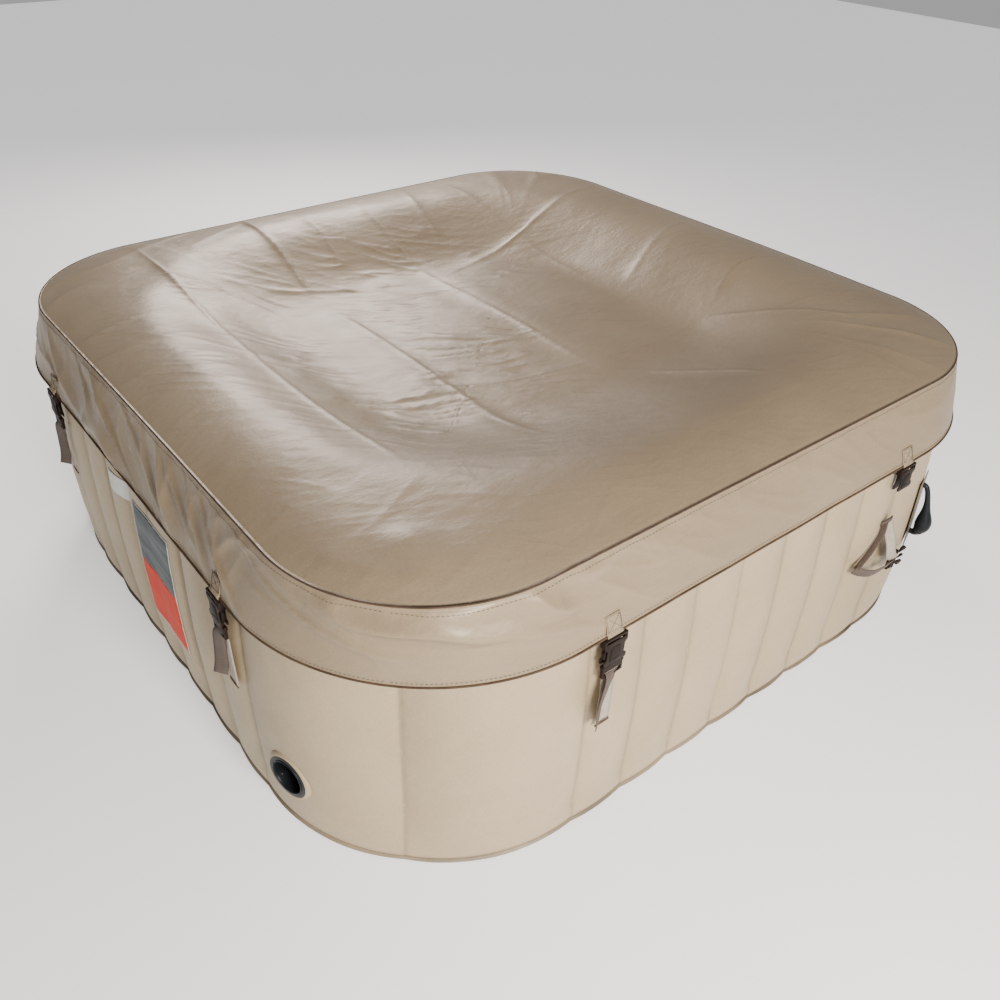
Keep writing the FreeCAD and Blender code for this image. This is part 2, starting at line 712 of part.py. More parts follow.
def carry_handle(name, quarter, azimuth):
    """A moulded grip bar on two feet."""
    turn = about_z(azimuth)
    feet = [
        box(f"{name}_foot_{i}", (34, 26, 28),
            at_corner(quarter, azimuth, handle_skin + 3.5, -13, low), turn)
        for i, low in enumerate((HANDLE_LOW, HANDLE_HIGH - 28))
    ]
    grip = cylinder(f"{name}_grip", 12, HANDLE_HIGH - HANDLE_LOW,
                    at_corner(quarter, azimuth, handle_skin + 29, 0, HANDLE_LOW))
    return fuse(name, feet + [grip])


def handle_patch(name, quarter, azimuth):
    size = (2, 76, HANDLE_HIGH - HANDLE_LOW + 30)
    at = at_corner(quarter, azimuth, handle_skin + 1, -38, HANDLE_LOW - 15)
    return box(name, size, at, about_z(azimuth))


HANDLES = ((0, HANDLE_AZIMUTH), (2, HANDLE_AZIMUTH + 180))
part(group("handles", [carry_handle(f"handle_{k}", k, a) for k, a in HANDLES]), "carry_handles")
part(group("patches", [handle_patch(f"patch_{k}", k, a) for k, a in HANDLES]), "handle_patches")

# ---- Blank information sheets on the wall --------------------------------------------------
LABEL_OUT = half + bulge + gap
part(group("labels", [
    box("label_main", (180, 0.6, 300), (-10, -LABEL_OUT - 0.6, 145)),
    box("label_small", (80, 0.6, 50), (-145, -LABEL_OUT - 0.6, 400)),
]), "label_sheets")

# ---- Fitted cover --------------------------------------------------------------------------
cover_top, cover_under = dim("cover_top"), dim("cover_under")
hem = dim("hem_height")
hem_r = dim("hem_width") / 2 - centre
seam_r = hem_r - dim("seam_inset")
basin_floor = dim("basin_floor")
mouth, bottom = dim("basin_mouth"), dim("basin_bottom")
mouth_r, bottom_r = inner_r - 5, inner_r - 60
PANEL_THICKNESS = 6


def cover_panel():
    """The top panel: a flat rim over the wall and a basin that sags inside it."""
    rim = plate_body("cover_rim", (centre + seam_r) * 2, seam_r, cover_under,
                     cover_top - cover_under)
    sag = bowl_body("cover_sag", [(bottom, bottom_r, basin_floor), (mouth, mouth_r, cover_under + 1)])
    room = bowl_body("cover_room", [
        (bottom - 12, bottom_r, basin_floor + PANEL_THICKNESS),
        (mouth + 6, mouth_r, cover_top + 1),
    ])
    return cut("cover_dish", fuse("cover_solid", [rim, sag]), room)


part(cover_panel(), "cover_top")
skirt_profile = [
    (hem_r, hem),
    (seam_r + 2, cover_under),
    (seam_r + 2 - skin, cover_under),
    (hem_r - skin, hem),
]
skirt_runs, skirt_turns = ring("skirt", skirt_profile)
part(group("cover_skirt", skirt_runs + skirt_turns), "cover_skirt")
piping_runs, piping_turns = ring("piping", band(seam_r + 0.3, seam_r + 4, 661, 665))
part(group("seam_piping", piping_runs + piping_turns), "seam_piping")
hem_runs, hem_turns = ring("hem", band(hem_r - skin - 1, hem_r + 1, hem - 6.5, hem))
part(group("hem_binding", hem_runs + hem_turns), "hem_binding")

# ---- Straps and buckles --------------------------------------------------------------------
# Each buckle is named by its number: two on each side, counted from the +X side's lower y.
strap_at = dim("strap_offset")
buckle_w, buckle_d, buckle_h = dim("buckle_width"), dim("buckle_depth"), dim("buckle_height")
buckle_face = half + bulge + 2.5  # distance of a buckle's back from the middle of the tub
socket_foot = dim("socket_foot")
strap_w = dim("strap_width")
BUCKLES = [(side, sign) for side in range(SIDES) for sign in (-1, 1)]


def on_side(index, out, along, z):
    """A point by its distance out from the middle and its offset along a buckle's side."""
    side, sign = BUCKLES[index]
    x, y = quarter_turned(as_dim(out), strap_at * sign + as_dim(along), side)
    return x, y, z


def side_box(name, index, size, out, along, z):
    """A block on a buckle's side: size is outward, along the wall and up."""
    return box(name, size, on_side(index, out, along, z), about_z(90 * BUCKLES[index][0]))


THROAT = 42  # depth of the socket's mouth


def buckle_socket(index):
    """A drum open at its foot, with a window in each side and a slot for the cover's strap."""
    name = f"socket_{index + 1}"
    block = side_box(name + "_block", index, (buckle_d, buckle_w, buckle_h),
                     buckle_face, -buckle_w / 2, socket_foot)
    throat = side_box(name + "_throat", index, (buckle_d - 4, buckle_w - 6, THROAT + 2),
                      buckle_face + 2, -buckle_w / 2 + 3, socket_foot - 2)
    windows = side_box(name + "_windows", index, (buckle_d - 4, buckle_w + 4, 20),
                       buckle_face + 2, -buckle_w / 2 - 2, socket_foot + 12)
    slot = side_box(name + "_slot", index, (3, buckle_w - 12, 10),
                    buckle_face + 5, -buckle_w / 2 + 6, socket_foot + buckle_h - 8)
    return cut(name, block, fuse(name + "_tools", [throat, windows, slot]))


PRONG_HEIGHT = 38
PRONG_WIDTH = 8
PLUG_BASE = 30


def buckle_plug(index):
    """A base with a slot for the webbing, a middle guide and two side prongs."""
    name = f"plug_{index + 1}"
    depth = buckle_d - 5
    out = buckle_face + 2.5
    base = side_box(name + "_base", index, (depth, buckle_w - 4, PLUG_BASE),
                    out, -buckle_w / 2 + 2, socket_foot - PLUG_BASE - gap)
    guide = side_box(name + "_guide", index, (depth - 4, 5, PRONG_HEIGHT + 1),
                     out + 2, -2.5, socket_foot - 1)
    prongs = [
        side_box(f"{name}_prong_{i}", index, (depth - 2, PRONG_WIDTH, PRONG_HEIGHT),
                 out + 1, along, socket_foot - 1)
        for i, along in enumerate((-buckle_w / 2 + 4.5, buckle_w / 2 - 4.5 - PRONG_WIDTH))
    ]
    slot = side_box(name + "_slot", index, (depth + 4, buckle_w - 12, 6),
                    out - 2, -buckle_w / 2 + 6, socket_foot - 20)
    return cut(name, fuse(name + "_solid", [base, guide] + prongs), slot)


def hang(plug):
    """Turns the unfastened plug about its own middle, and moves it to where it hangs."""
    middle = socket_foot + (PRONG_HEIGHT - PLUG_BASE) / 2
    turn = FreeCAD.Rotation(FreeCAD.Vector(1, 0, 0), OPEN_TURN)
    cosine, sine = math.cos(math.radians(OPEN_TURN)), math.sin(math.radians(OPEN_TURN))
    shift_y = dim("open_plug_y") - (strap_at * cosine - middle * sine)
    shift_z = dim("open_plug_z") - (strap_at * sine + middle * cosine)
    place(plug, (0, shift_y, shift_z), turn)


part(group("sockets", [buckle_socket(i) for i in range(len(BUCKLES))]), "buckle_sockets")
strap_lean = math.degrees(math.atan2(dim("seam_inset").number - 2, (cover_under - hem).number))


def cover_strap(index):
    """The short webbing on the skirt that holds a socket."""
    side = BUCKLES[index][0]
    lean = about_z(90 * side).multiply(FreeCAD.Rotation(FreeCAD.Vector(0, 1, 0), -strap_lean))
    at = on_side(index, centre + hem_r + 3.4, -strap_w / 2, hem - 6)
    return box(f"cover_strap_{index + 1}", (dim("webbing"), strap_w, 62), at, lean)


part(group("cover_straps", [cover_strap(i) for i in range(len(BUCKLES))]), "cover_straps")
for i in range(len(BUCKLES)):
    plug = buckle_plug(i)
    if i + 1 == OPEN_BUCKLE:
        hang(plug)
    part(plug, f"buckle_plug_{i + 1}")
wall_out = half + bulge + gap
webbing_low = 285
part(group("webbings", [
    side_box(f"webbing_{i + 1}", i, (dim("webbing"), strap_w, socket_foot - PLUG_BASE - 6 - webbing_low),
             wall_out, -strap_w / 2, webbing_low)
    for i in range(len(BUCKLES)) if i + 1 != OPEN_BUCKLE
] + [
    side_box("webbing_open", OPEN_BUCKLE - 1, (dim("webbing"), strap_w, 90),
             wall_out, -strap_w / 2, 275),
]), "wall_webbing")

doc.recompute()


def faults():
    """Every object that failed to build, and every sub-part whose shape is not sound."""
    failed = [o.Name for o in doc.Objects if {"Invalid", "Error"} & set(o.State)]
    unsound = [o.Label for o in parts if o.Shape.isNull() or not o.Shape.isValid()]
    empty = [o.Label for o in parts if not o.Shape.isNull() and o.Shape.Volume < 1]
    return failed + unsound + empty


problems = faults()
if problems:
    raise RuntimeError("these did not build: " + ", ".join(problems))

os.makedirs("parts", exist_ok=True)
for thing in parts:
    thing.Shape.exportStep(f"parts/{thing.Label}.step")
print(len(parts), "sub-parts written")
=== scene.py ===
import json
import math

import bmesh
import bpy
import numpy as np
from mathutils import Matrix, Vector


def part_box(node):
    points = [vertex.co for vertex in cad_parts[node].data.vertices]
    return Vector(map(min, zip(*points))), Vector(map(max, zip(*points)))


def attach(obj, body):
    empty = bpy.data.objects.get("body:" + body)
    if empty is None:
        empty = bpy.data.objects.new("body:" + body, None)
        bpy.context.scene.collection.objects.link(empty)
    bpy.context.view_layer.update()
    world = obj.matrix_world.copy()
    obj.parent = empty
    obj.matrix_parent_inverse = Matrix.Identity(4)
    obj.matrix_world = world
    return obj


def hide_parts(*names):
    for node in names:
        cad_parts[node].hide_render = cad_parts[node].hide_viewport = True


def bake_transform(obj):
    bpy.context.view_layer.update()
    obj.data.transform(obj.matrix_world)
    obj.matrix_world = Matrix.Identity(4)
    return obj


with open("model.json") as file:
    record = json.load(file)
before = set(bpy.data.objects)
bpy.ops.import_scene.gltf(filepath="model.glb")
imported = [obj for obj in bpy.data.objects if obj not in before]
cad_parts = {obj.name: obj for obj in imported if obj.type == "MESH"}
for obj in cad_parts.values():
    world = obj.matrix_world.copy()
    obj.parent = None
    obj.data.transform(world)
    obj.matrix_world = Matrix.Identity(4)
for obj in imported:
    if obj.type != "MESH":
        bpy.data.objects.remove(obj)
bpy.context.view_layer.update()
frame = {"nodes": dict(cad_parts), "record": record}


def link(name, data):
    """A new object in the scene."""
    thing = bpy.data.objects.new(name, data)
    bpy.context.collection.objects.link(thing)
    return thing


def aimed(place, aim):
    """Where a camera or a lamp stands to look at a point."""
    look = (Vector(aim) - Vector(place)).to_track_quat("-Z", "Y").to_matrix().to_4x4()
    return Matrix.Translation(place) @ look


# ---- Camera ----
CAMERA_PLACE, CAMERA_AIM, CAMERA_ROLL = (1.7454, -1.3580, 1.6601), (0.2054, -0.0784, 0.3572), 0.0367


def add_camera():
    data = bpy.data.cameras.new("camera")
    data.sensor_width, data.lens, data.clip_end = 36, 35.39, 60
    data.shift_x, data.shift_y = -0.0111, -0.0486
    camera = link("camera", data)
    camera.matrix_world = aimed(CAMERA_PLACE, CAMERA_AIM) @ Matrix.Rotation(CAMERA_ROLL, 4, "Z")
    bpy.context.scene.camera = camera


add_camera()

# ---- Sizes, from the frame ----
FLANGE = 0.008
FOOT_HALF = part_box("base_panel")[1].x - FLANGE
FOOT_RADIUS = 0.43
CENTRE = FOOT_HALF - FOOT_RADIUS  # distance of a corner's centre line from the middle
WALL_DEPTH = 0.205
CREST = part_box("outer_wall")[1].z
WALL_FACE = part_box("outer_wall")[1].x
BULGE = WALL_FACE - FOOT_HALF
INNER_HALF = FOOT_HALF - WALL_DEPTH
INNER_RADIUS = FOOT_RADIUS - WALL_DEPTH
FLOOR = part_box("floor_liner")[1].z
HEM_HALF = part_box("cover_skirt")[1].x
HEM_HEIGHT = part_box("hem_binding")[0].z
HEM_RADIUS = 0.425
SEAM_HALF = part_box("cover_top")[1].x
SEAM_RADIUS = 0.327
SEAM_HEIGHT = 0.652
SOCKET_LOW, SOCKET_HIGH = (corner.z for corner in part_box("buckle_sockets"))
BUCKLE_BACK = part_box("buckle_plug_1")[0].x - 0.0025
STRAP_OFFSET = abs(sum(corner.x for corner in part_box("buckle_plug_3"))) / 2
SIDES = 4
RIBS = 7  # air chambers along a side
CORNER_RIBS = 2  # air chambers round a corner
QUARTER = RIBS + CORNER_RIBS
OPEN_BUCKLE = 1  # index of the buckle that hangs unfastened
OPEN_TURN = math.radians(-98)
VINYL_THICKNESS, CLOTH_THICKNESS, STRAP_THICKNESS = 0.0012, 0.001, 0.0014
WEAVE_PITCH, WEAVE_WIDTH = 0.0042, 0.0048


# ---- Numbers that vary smoothly ----
def noise(x, y, seed):
    """Smooth gradient noise between about -1 and 1, the same on every run."""
    source = np.random.default_rng(seed)
    table, angles = source.permutation(256), source.uniform(0, 2 * np.pi, 256)
    x, y = np.broadcast_arrays(np.asarray(x, float), np.asarray(y, float))
    xi, yi = np.floor(x).astype(int), np.floor(y).astype(int)
    xf, yf = x - xi, y - yi

    def corner(dx, dy):
        angle = angles[table[(table[(xi + dx) % 256] + yi + dy) % 256]]
        return np.cos(angle) * (xf - dx) + np.sin(angle) * (yf - dy)

    fx, fy = (f * f * f * (f * (f * 6 - 15) + 10) for f in (xf, yf))
    low = corner(0, 0) * (1 - fx) + corner(1, 0) * fx
    high = corner(0, 1) * (1 - fx) + corner(1, 1) * fx
    return (low * (1 - fy) + high * fy) * 1.5


def smooth(t):
    t = np.clip(t, 0, 1)
    return t * t * (3 - 2 * t)


def ridge(x, y, seed):
    """Noise folded into sharp crests, 0 to 1."""
    return 1 - np.minimum(np.abs(noise(x, y, seed)) * 2, 1)


def bell(*away):
    """1 at the middle, falling to 0 with the distance from it."""
    return np.exp(-sum(part**2 for part in away))


def unit(vectors):
    return vectors / np.linalg.norm(vectors, axis=1)[:, None]


def circle(count):
    """Angles evenly spaced round a circle."""
    return np.linspace(0, 2 * np.pi, count, endpoint=False)


def length_along(path):
    """The length of a line up to each of its points."""
    return np.concatenate([[0], np.cumsum(np.linalg.norm(np.diff(path, axis=0), axis=1))])


def curve_through(points, count):
    """A smooth line through a few points, evenly sampled."""
    points = np.array(points, float)
    ends = np.vstack([2 * points[0] - points[1], points, 2 * points[-1] - points[-2]])
    place = np.linspace(0, len(points) - 1, count)
    i = np.minimum(place.astype(int), len(points) - 2)
    t = (place - i)[:, None]
    a, b, c, d = (ends[i + k] for k in range(4))
    return 0.5 * (2 * b + (c - a) * t + (2 * a - 5 * b + 4 * c - d) * t**2 + (3 * b - a - 3 * c + d) * t**3)


# ---- Meshes ----
def add_mesh(name, points, faces, material, solid=False):
    """A smooth-shaded mesh; solid turns its faces outward."""
    mesh = bpy.data.meshes.new(name)
    points = np.asarray(points, float).reshape(-1, 3).tolist()
    mesh.from_pydata(points, [], [list(map(int, face)) for face in faces])
    edit = bmesh.new()
    edit.from_mesh(mesh)
    if solid:
        bmesh.ops.recalc_face_normals(edit, faces=edit.faces)
    bmesh.ops.delete(edit, geom=[v for v in edit.verts if not v.link_faces], context="VERTS")
    edit.to_mesh(mesh)
    edit.free()
    mesh.polygons.foreach_set("use_smooth", [True] * len(mesh.polygons))
    mesh.materials.append(material)
    return link(name, mesh)


def add_values(thing, name, values):
    """A number at every vertex, which a material can read."""
    attribute = thing.data.attributes.new(name, "FLOAT", "POINT")
    attribute.data.foreach_set("value", np.asarray(values, np.float32).ravel())


def grid_faces(rows, columns, closed=False):
    """Quads between rows of vertices; closed joins each row's ends."""
    across = columns if closed else columns - 1
    r, c = np.meshgrid(np.arange(rows - 1), np.arange(across), indexing="ij")
    n, r = (c + 1) % columns, r * columns
    return np.stack([r + c, r + n, r + columns + n, r + columns + c], -1).reshape(-1, 4)


def add_modifier(thing, kind, **settings):
    modifier = thing.modifiers.new(kind.lower(), kind)
    for key, value in settings.items():
        setattr(modifier, key, value)
    return thing


def thicken(thing, thickness, offset=-1):
    return add_modifier(thing, "SOLIDIFY", thickness=thickness, offset=offset)


def join(name, things):
    """One object from several, with their modifiers applied."""
    graph = bpy.context.evaluated_depsgraph_get()
    points, faces, start = [], [], 0
    for thing in things:
        shape = thing.evaluated_get(graph)
        mesh = shape.to_mesh()
        points += [thing.matrix_basis @ v.co for v in mesh.vertices]
        faces += [[start + i for i in p.vertices] for p in mesh.polygons]
        start = len(points)
        shape.to_mesh_clear()
    result = add_mesh(name, points, faces, things[0].data.materials[0])
    for thing in things:
        bpy.data.objects.remove(thing)
    return result


def plate(outline, low, high, round_by):
    """A moulded outline of (across, up) points with a depth from low to high, facing +X."""
    count = len(outline)
    points = [(depth, a, u) for depth in (low, high) for a, u in outline]
    faces = [list(range(count)), list(range(count, 2 * count))]
    faces += [(i, (i + 1) % count, (i + 1) % count + count, i + count) for i in range(count)]
    thing = add_mesh("plate", points, faces, BUCKLE_PLASTIC, solid=True)
    return add_modifier(thing, "BEVEL", width=round_by, segments=2, limit_method="ANGLE")


def bar(low, high, round_by):
    """A moulded block between two corners, with softened edges."""
    outline = [(low[1], low[2]), (high[1], low[2]), (high[1], high[2]), (low[1], high[2])]
    return plate(outline, low[0], high[0], round_by)


def tube(name, path, radii, material, sides=8, closed=False):
    """A round bar along a path, with a radius at every point."""
    path = np.asarray(path, float)
    radii = np.broadcast_to(radii, len(path))[:, None, None]
    ahead = np.roll(path, -1, 0) - np.roll(path, 1, 0)
    if not closed:
        ahead[0], ahead[-1] = path[1] - path[0], path[-1] - path[-2]
    ahead = unit(ahead)
    up = np.where(np.abs(ahead[:, 2:]) > 0.9, [[1.0, 0, 0]], [[0, 0, 1.0]])
    across = unit(np.cross(ahead, up))
    over = np.cross(across, ahead)
    angles = circle(sides)[:, None]
    points = path[:, None] + (across[:, None] * np.cos(angles) + over[:, None] * np.sin(angles)) * radii
    faces = grid_faces(len(path), sides, closed=True).tolist()
    last = (len(path) - 1) * sides
    if closed:
        faces += [(last + i, last + (i + 1) % sides, (i + 1) % sides, i) for i in range(sides)]
    else:
        faces += [list(range(sides)), [last + i for i in range(sides)]]
    return add_mesh(name, points, faces, material, solid=True)


def lathe(name, profile, place, material, segments=72):
    """A profile of (radius, depth) turned about the Z axis of a place."""
    angles = circle(segments)
    points = [place @ Vector((r * math.cos(a), r * math.sin(a), d)) for r, d in profile for a in angles]
    return add_mesh(name, points, grid_faces(len(profile), segments, closed=True), material, solid=True)


def stitches(name, path, pitch, length, radius):
    """A row of short thread stitches along a path."""
    path = np.asarray(path, float)
    steps = length_along(path)
    starts = np.arange(0, steps[-1] - length, pitch)
    a, b = (
        np.stack([np.interp(place, steps, path[:, k]) for k in range(3)], -1)
        for place in (starts, starts + length)
    )
    ahead = unit(b - a)
    across = unit(np.cross(ahead, [0.31, 0.22, 0.92]))
    over = np.cross(across, ahead)
    ring = np.stack([across, over, -across, -over], 1) * radius
    a, b = a[:, None], b[:, None]
    points = np.concatenate([a + ring * 0.5, (a + b) / 2 + ring, b + ring * 0.5], 1)
    one = np.vstack([grid_faces(3, 4, closed=True), [(0, 3, 2, 1), (8, 9, 10, 11)]])
    faces = (np.arange(len(a))[:, None, None] * 12 + one).reshape(-1, 4)
    return add_mesh(name, points, faces, THREAD)


def strap(name, path, sideways, width, material, thickness=STRAP_THICKNESS):
    """A flat strap along a path; sideways is its width direction at every point."""
    path = np.asarray(path, float)
    sideways = unit(np.broadcast_to(np.asarray(sideways, float), (len(path), 3)))
    columns = np.linspace(-0.5, 0.5, 5) * width
    points = path[:, None] + sideways[:, None] * columns[:, None]
    thing = add_mesh(name, points, grid_faces(len(path), 5), material)
    uv = np.stack(np.broadcast_arrays(columns, length_along(path)[:, None]), -1).reshape(-1, 2)
    layer = thing.data.uv_layers.new(name="strap")
    corners = np.empty(len(thing.data.loops), np.int64)
    thing.data.loops.foreach_get("vertex_index", corners)
    layer.data.foreach_set("uv", uv[corners].astype(np.float32).ravel())
    return thicken(thing, thickness, offset=0)


def put(thing, side, along):
    """Moves a thing made for the middle of the +X side to its place on any side."""
    thing.matrix_basis = Matrix.Rotation(side * math.pi / 2, 4, "Z") @ Matrix.Translation((0, along, 0))
    return thing


def settle(thing, body, slot, *nodes):
    """Fixes a piece to a body and hides the CAD nodes it stands for. The slot is not used."""
    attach(thing, body)
    if nodes:
        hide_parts(*nodes)


# ---- Materials ----
class Shader:
    """A node material with short ways to add and join nodes."""

    def __init__(self, name, roughness=0.5, metallic=0.0, **sockets):
        self.material = bpy.data.materials.new(name)
        self.material.use_nodes = True
        self.tree = self.material.node_tree
        self.surface = self.tree.nodes["Principled BSDF"]
        self.surface.inputs["Roughness"].default_value = roughness
        self.surface.inputs["Metallic"].default_value = metallic
        for key, value in sockets.items():
            self.surface.inputs[key.replace("_", " ")].default_value = value
        self.place = self.node("ShaderNodeTexCoord").outputs["Object"]

    def node(self, kind, inputs=None, **settings):
        node = self.tree.nodes.new(kind)
        for key, value in settings.items():
            setattr(node, key, value)
        for key, value in (inputs or {}).items():
            if isinstance(value, bpy.types.NodeSocket):
                self.tree.links.new(value, node.inputs[key])
            else:
                node.inputs[key].default_value = value
        return node

    def math(self, operation, a, b=0.0, c=0.0):
        return self.node("ShaderNodeMath", {0: a, 1: b, 2: c}, operation=operation).outputs[0]

    def noise(self, scale, detail=3.0, stretch=None, rough=0.55):
        place = self.place
        if stretch:
            place = self.node("ShaderNodeMapping", {"Vector": place, "Scale": stretch}).outputs[0]
        inputs = {"Vector": place, "Scale": scale, "Detail": detail, "Roughness": rough}
        return self.node("ShaderNodeTexNoise", inputs).outputs["Fac"]

    def value(self, name):
        return self.node("ShaderNodeAttribute", attribute_name=name).outputs["Fac"]

    def ramp(self, factor, stops):
        node = self.node("ShaderNodeValToRGB", {"Fac": factor})
        elements = node.color_ramp.elements
        while len(elements) < len(stops):
            elements.new(0.5)
        for element, (position, colour) in zip(elements, stops):
            element.position = position
            element.color = (*colour, 1.0)
        return node.outputs["Color"]

    def mix(self, factor, a, b, blend="MIX"):
        node = self.node("ShaderNodeMix", data_type="RGBA", blend_type=blend)
        for socket, value in ((node.inputs[0], factor), (node.inputs[6], a), (node.inputs[7], b)):
            if isinstance(value, bpy.types.NodeSocket):
                self.tree.links.new(value, socket)
            else:
                socket.default_value = value if isinstance(value, float) else (*value, 1.0)
        return node.outputs[2]

    def colour(self, socket):
        self.tree.links.new(socket, self.surface.inputs["Base Color"])

    def roughness(self, factor, low, high):
        span = self.node("ShaderNodeMapRange", {"Value": factor, "To Min": low, "To Max": high})
        self.tree.links.new(span.outputs[0], self.surface.inputs["Roughness"])

    def bump(self, *layers):
        """Layers of (height, depth in metres, strength)."""
        normal = None
        for height, depth, strength in layers:
            inputs = {"Height": height, "Distance": depth, "Strength": strength}
            if normal:
                inputs["Normal"] = normal
            normal = self.node("ShaderNodeBump", inputs).outputs["Normal"]
        self.tree.links.new(normal, self.surface.inputs["Normal"])


def vinyl(name, dark, light, roughness):
    """Laminated vinyl with a fine printed weave, soft mottling and painted shade in its creases and at its
    welds.
    """
    shader = Shader(name, roughness, Specular_IOR_Level=0.34)
    mottle = shader.noise(3.2, 4.0)
    weave_x = shader.noise(520.0, 1.0, stretch=(1.0, 1.0, 0.22))
    weave_z = shader.noise(520.0, 1.0, stretch=(0.3, 0.3, 1.0))
    weave = shader.math("MULTIPLY", weave_x, weave_z)
    colour = shader.ramp(mottle, [(0.3, dark), (0.72, light)])
    grainy = shader.ramp(weave, [(0.1, (0.86, 0.85, 0.84)), (0.45, (1.0, 1.0, 1.0))])
    colour = shader.mix(1.0, colour, grainy, "MULTIPLY")
    # painted shade: the colour darkens towards 0.42 of the dark tone where the mesh's crease value is high
    crease_shade = shader.value("crease_shade")
    colour = shader.mix(shader.math("MULTIPLY", crease_shade, 0.5), colour, tuple(c * 0.42 for c in dark))
    shader.colour(colour)
    shader.roughness(shader.noise(14.0, 4.0), roughness - 0.07, roughness + 0.12)
    shader.bump((shader.noise(24.0, 4.0), 0.003, 0.25), (weave, 0.0004, 0.5))
    return shader.material


def cover_fabric():
    """Coated oxford cloth: a satin taupe with a fine weave, and painted shade in its creases."""
    shader = Shader(
        "coated_fabric", 0.36, Specular_IOR_Level=0.5, Specular_Tint=(1.0, 0.9, 0.78, 1.0),
        Coat_Weight=0.08, Coat_Roughness=0.28,
    )
    mottle = shader.noise(2.1, 5.0)
    colour = shader.ramp(mottle, [(0.28, (0.205, 0.15, 0.092)), (0.75, (0.27, 0.204, 0.128))])
    weave_x = shader.noise(640.0, 1.0, stretch=(1.0, 0.25, 1.0))
    weave_y = shader.noise(640.0, 1.0, stretch=(0.25, 1.0, 0.6))
    weave = shader.math("MULTIPLY", weave_x, weave_y)
    fibres = shader.ramp(weave, [(0.12, (0.88, 0.87, 0.86)), (0.42, (1.0, 1.0, 1.0))])
    colour = shader.mix(1.0, colour, fibres, "MULTIPLY")
    # painted shade in the cloth's creases, from the per-vertex crease value
    colour = shader.mix(shader.math("MULTIPLY", shader.value("crease_shade"), 0.35), colour, (0.09, 0.06, 0.036))
    shader.colour(colour)
    shader.roughness(shader.noise(11.0, 5.0), 0.34, 0.52)
    wrinkles = shader.noise(38.0, 5.0, stretch=(1.0, 0.45, 1.0), rough=0.6)
    shader.bump((wrinkles, 0.005, 0.38), (weave, 0.0004, 0.4))
    return shader.material


def plastic(name, dark, light, roughness, depth=0.0003, scale=900.0, shine=0.5):
    """Moulded plastic with a fine spark-eroded texture and faint scuffs."""
    shader = Shader(name, roughness, Specular_IOR_Level=shine)
    shader.colour(shader.ramp(shader.noise(26.0, 5.0), [(0.35, dark), (0.75, light)]))
    shader.roughness(shader.noise(60.0, 6.0), roughness - 0.06, roughness + 0.14)
    shader.bump((shader.noise(scale, 2.0), depth, 0.35))
    return shader.material


def brushed_metal():
    shader = Shader("brushed_steel", 0.3, 1.0)
    lines = shader.noise(240.0, 3.0, stretch=(1.0, 1.0, 0.04))
    shader.colour(shader.ramp(lines, [(0.3, (0.42, 0.42, 0.43)), (0.7, (0.62, 0.62, 0.63))]))
    shader.roughness(lines, 0.24, 0.42)
    shader.bump((lines, 0.0002, 0.3))
    return shader.material


def webbing_cloth(name, dark, light):
    """Polyester webbing with a herringbone weave along its length."""
    shader = Shader(name, 0.72)
    uv = shader.node("ShaderNodeUVMap", uv_map="strap").outputs[0]
    parts = shader.node("ShaderNodeSeparateXYZ", {0: uv})
    zigzag = shader.math("PINGPONG", parts.outputs[0], WEAVE_WIDTH)
    wave = shader.math("ADD", zigzag, parts.outputs[1])
    wave = shader.math("SINE", shader.math("MULTIPLY", wave, 2 * math.pi / WEAVE_PITCH))
    wave = shader.math("MULTIPLY_ADD", wave, 0.5, 0.5)
    shader.colour(shader.mix(shader.noise(30.0, 4.0), shader.ramp(wave, [(0.2, dark), (0.8, light)]), dark))
    shader.bump((wave, 0.0006, 0.7), (shader.noise(900.0, 2.0), 0.0003, 0.5))
    return shader.material


def label_print(name, ink, paper):
    """Plain printed sheet with a soft halftone and no lettering."""
    shader = Shader(name, 0.55, Specular_IOR_Level=0.12)
    rows = shader.noise(60.0, 2.0, stretch=(0.12, 0.12, 1.0))
    shader.colour(shader.ramp(rows, [(0.35, ink), (0.75, paper)]))
    shader.bump((shader.noise(300.0, 2.0), 0.0002, 0.4))
    return shader.material


WALL_VINYL = vinyl("wall_vinyl", (0.345, 0.262, 0.16), (0.415, 0.322, 0.203), 0.46)
LINER_VINYL = vinyl("liner_vinyl", (0.42, 0.43, 0.42), (0.52, 0.53, 0.52), 0.4)
# the beige is the vinyl's own colour; the near-black patches are painted contact shadow under the tub's foot
BASE_VINYL_AND_SHADE = vinyl("base_vinyl", (0.03, 0.024, 0.018), (0.36, 0.28, 0.185), 0.5)
COVER_FABRIC = cover_fabric()
BINDING = plastic(
    "brown_binding", (0.05, 0.03, 0.02), (0.095, 0.06, 0.038), 0.8, 0.0005, 1500.0, shine=0.12
)
BUCKLE_PLASTIC = plastic("buckle_plastic", (0.009, 0.005, 0.0037), (0.022, 0.0125, 0.0095), 0.5, shine=0.1)
BLACK_PLASTIC = plastic("black_plastic", (0.004, 0.005, 0.0065), (0.011, 0.013, 0.016), 0.34, shine=0.16)
GREY_PLASTIC = plastic("grey_plastic", (0.36, 0.36, 0.34), (0.47, 0.47, 0.45), 0.42)
PANEL_PLASTIC = plastic("panel_plastic", (0.2, 0.16, 0.12), (0.28, 0.23, 0.18), 0.35)
WHITE_PIPE = plastic("white_pipe", (0.66, 0.66, 0.64), (0.78, 0.78, 0.76), 0.38)
BUTTON_RUBBER = plastic("button_rubber", (0.55, 0.55, 0.53), (0.66, 0.66, 0.64), 0.6)
BOARD = plastic("board_resin", (0.012, 0.1, 0.045), (0.02, 0.16, 0.07), 0.35)
DISPLAY = plastic("display_glass", (0.008, 0.01, 0.014), (0.014, 0.017, 0.022), 0.12)
PLEATS = plastic("filter_fleece", (0.6, 0.62, 0.64), (0.74, 0.76, 0.78), 0.8, 0.0009, 400.0)
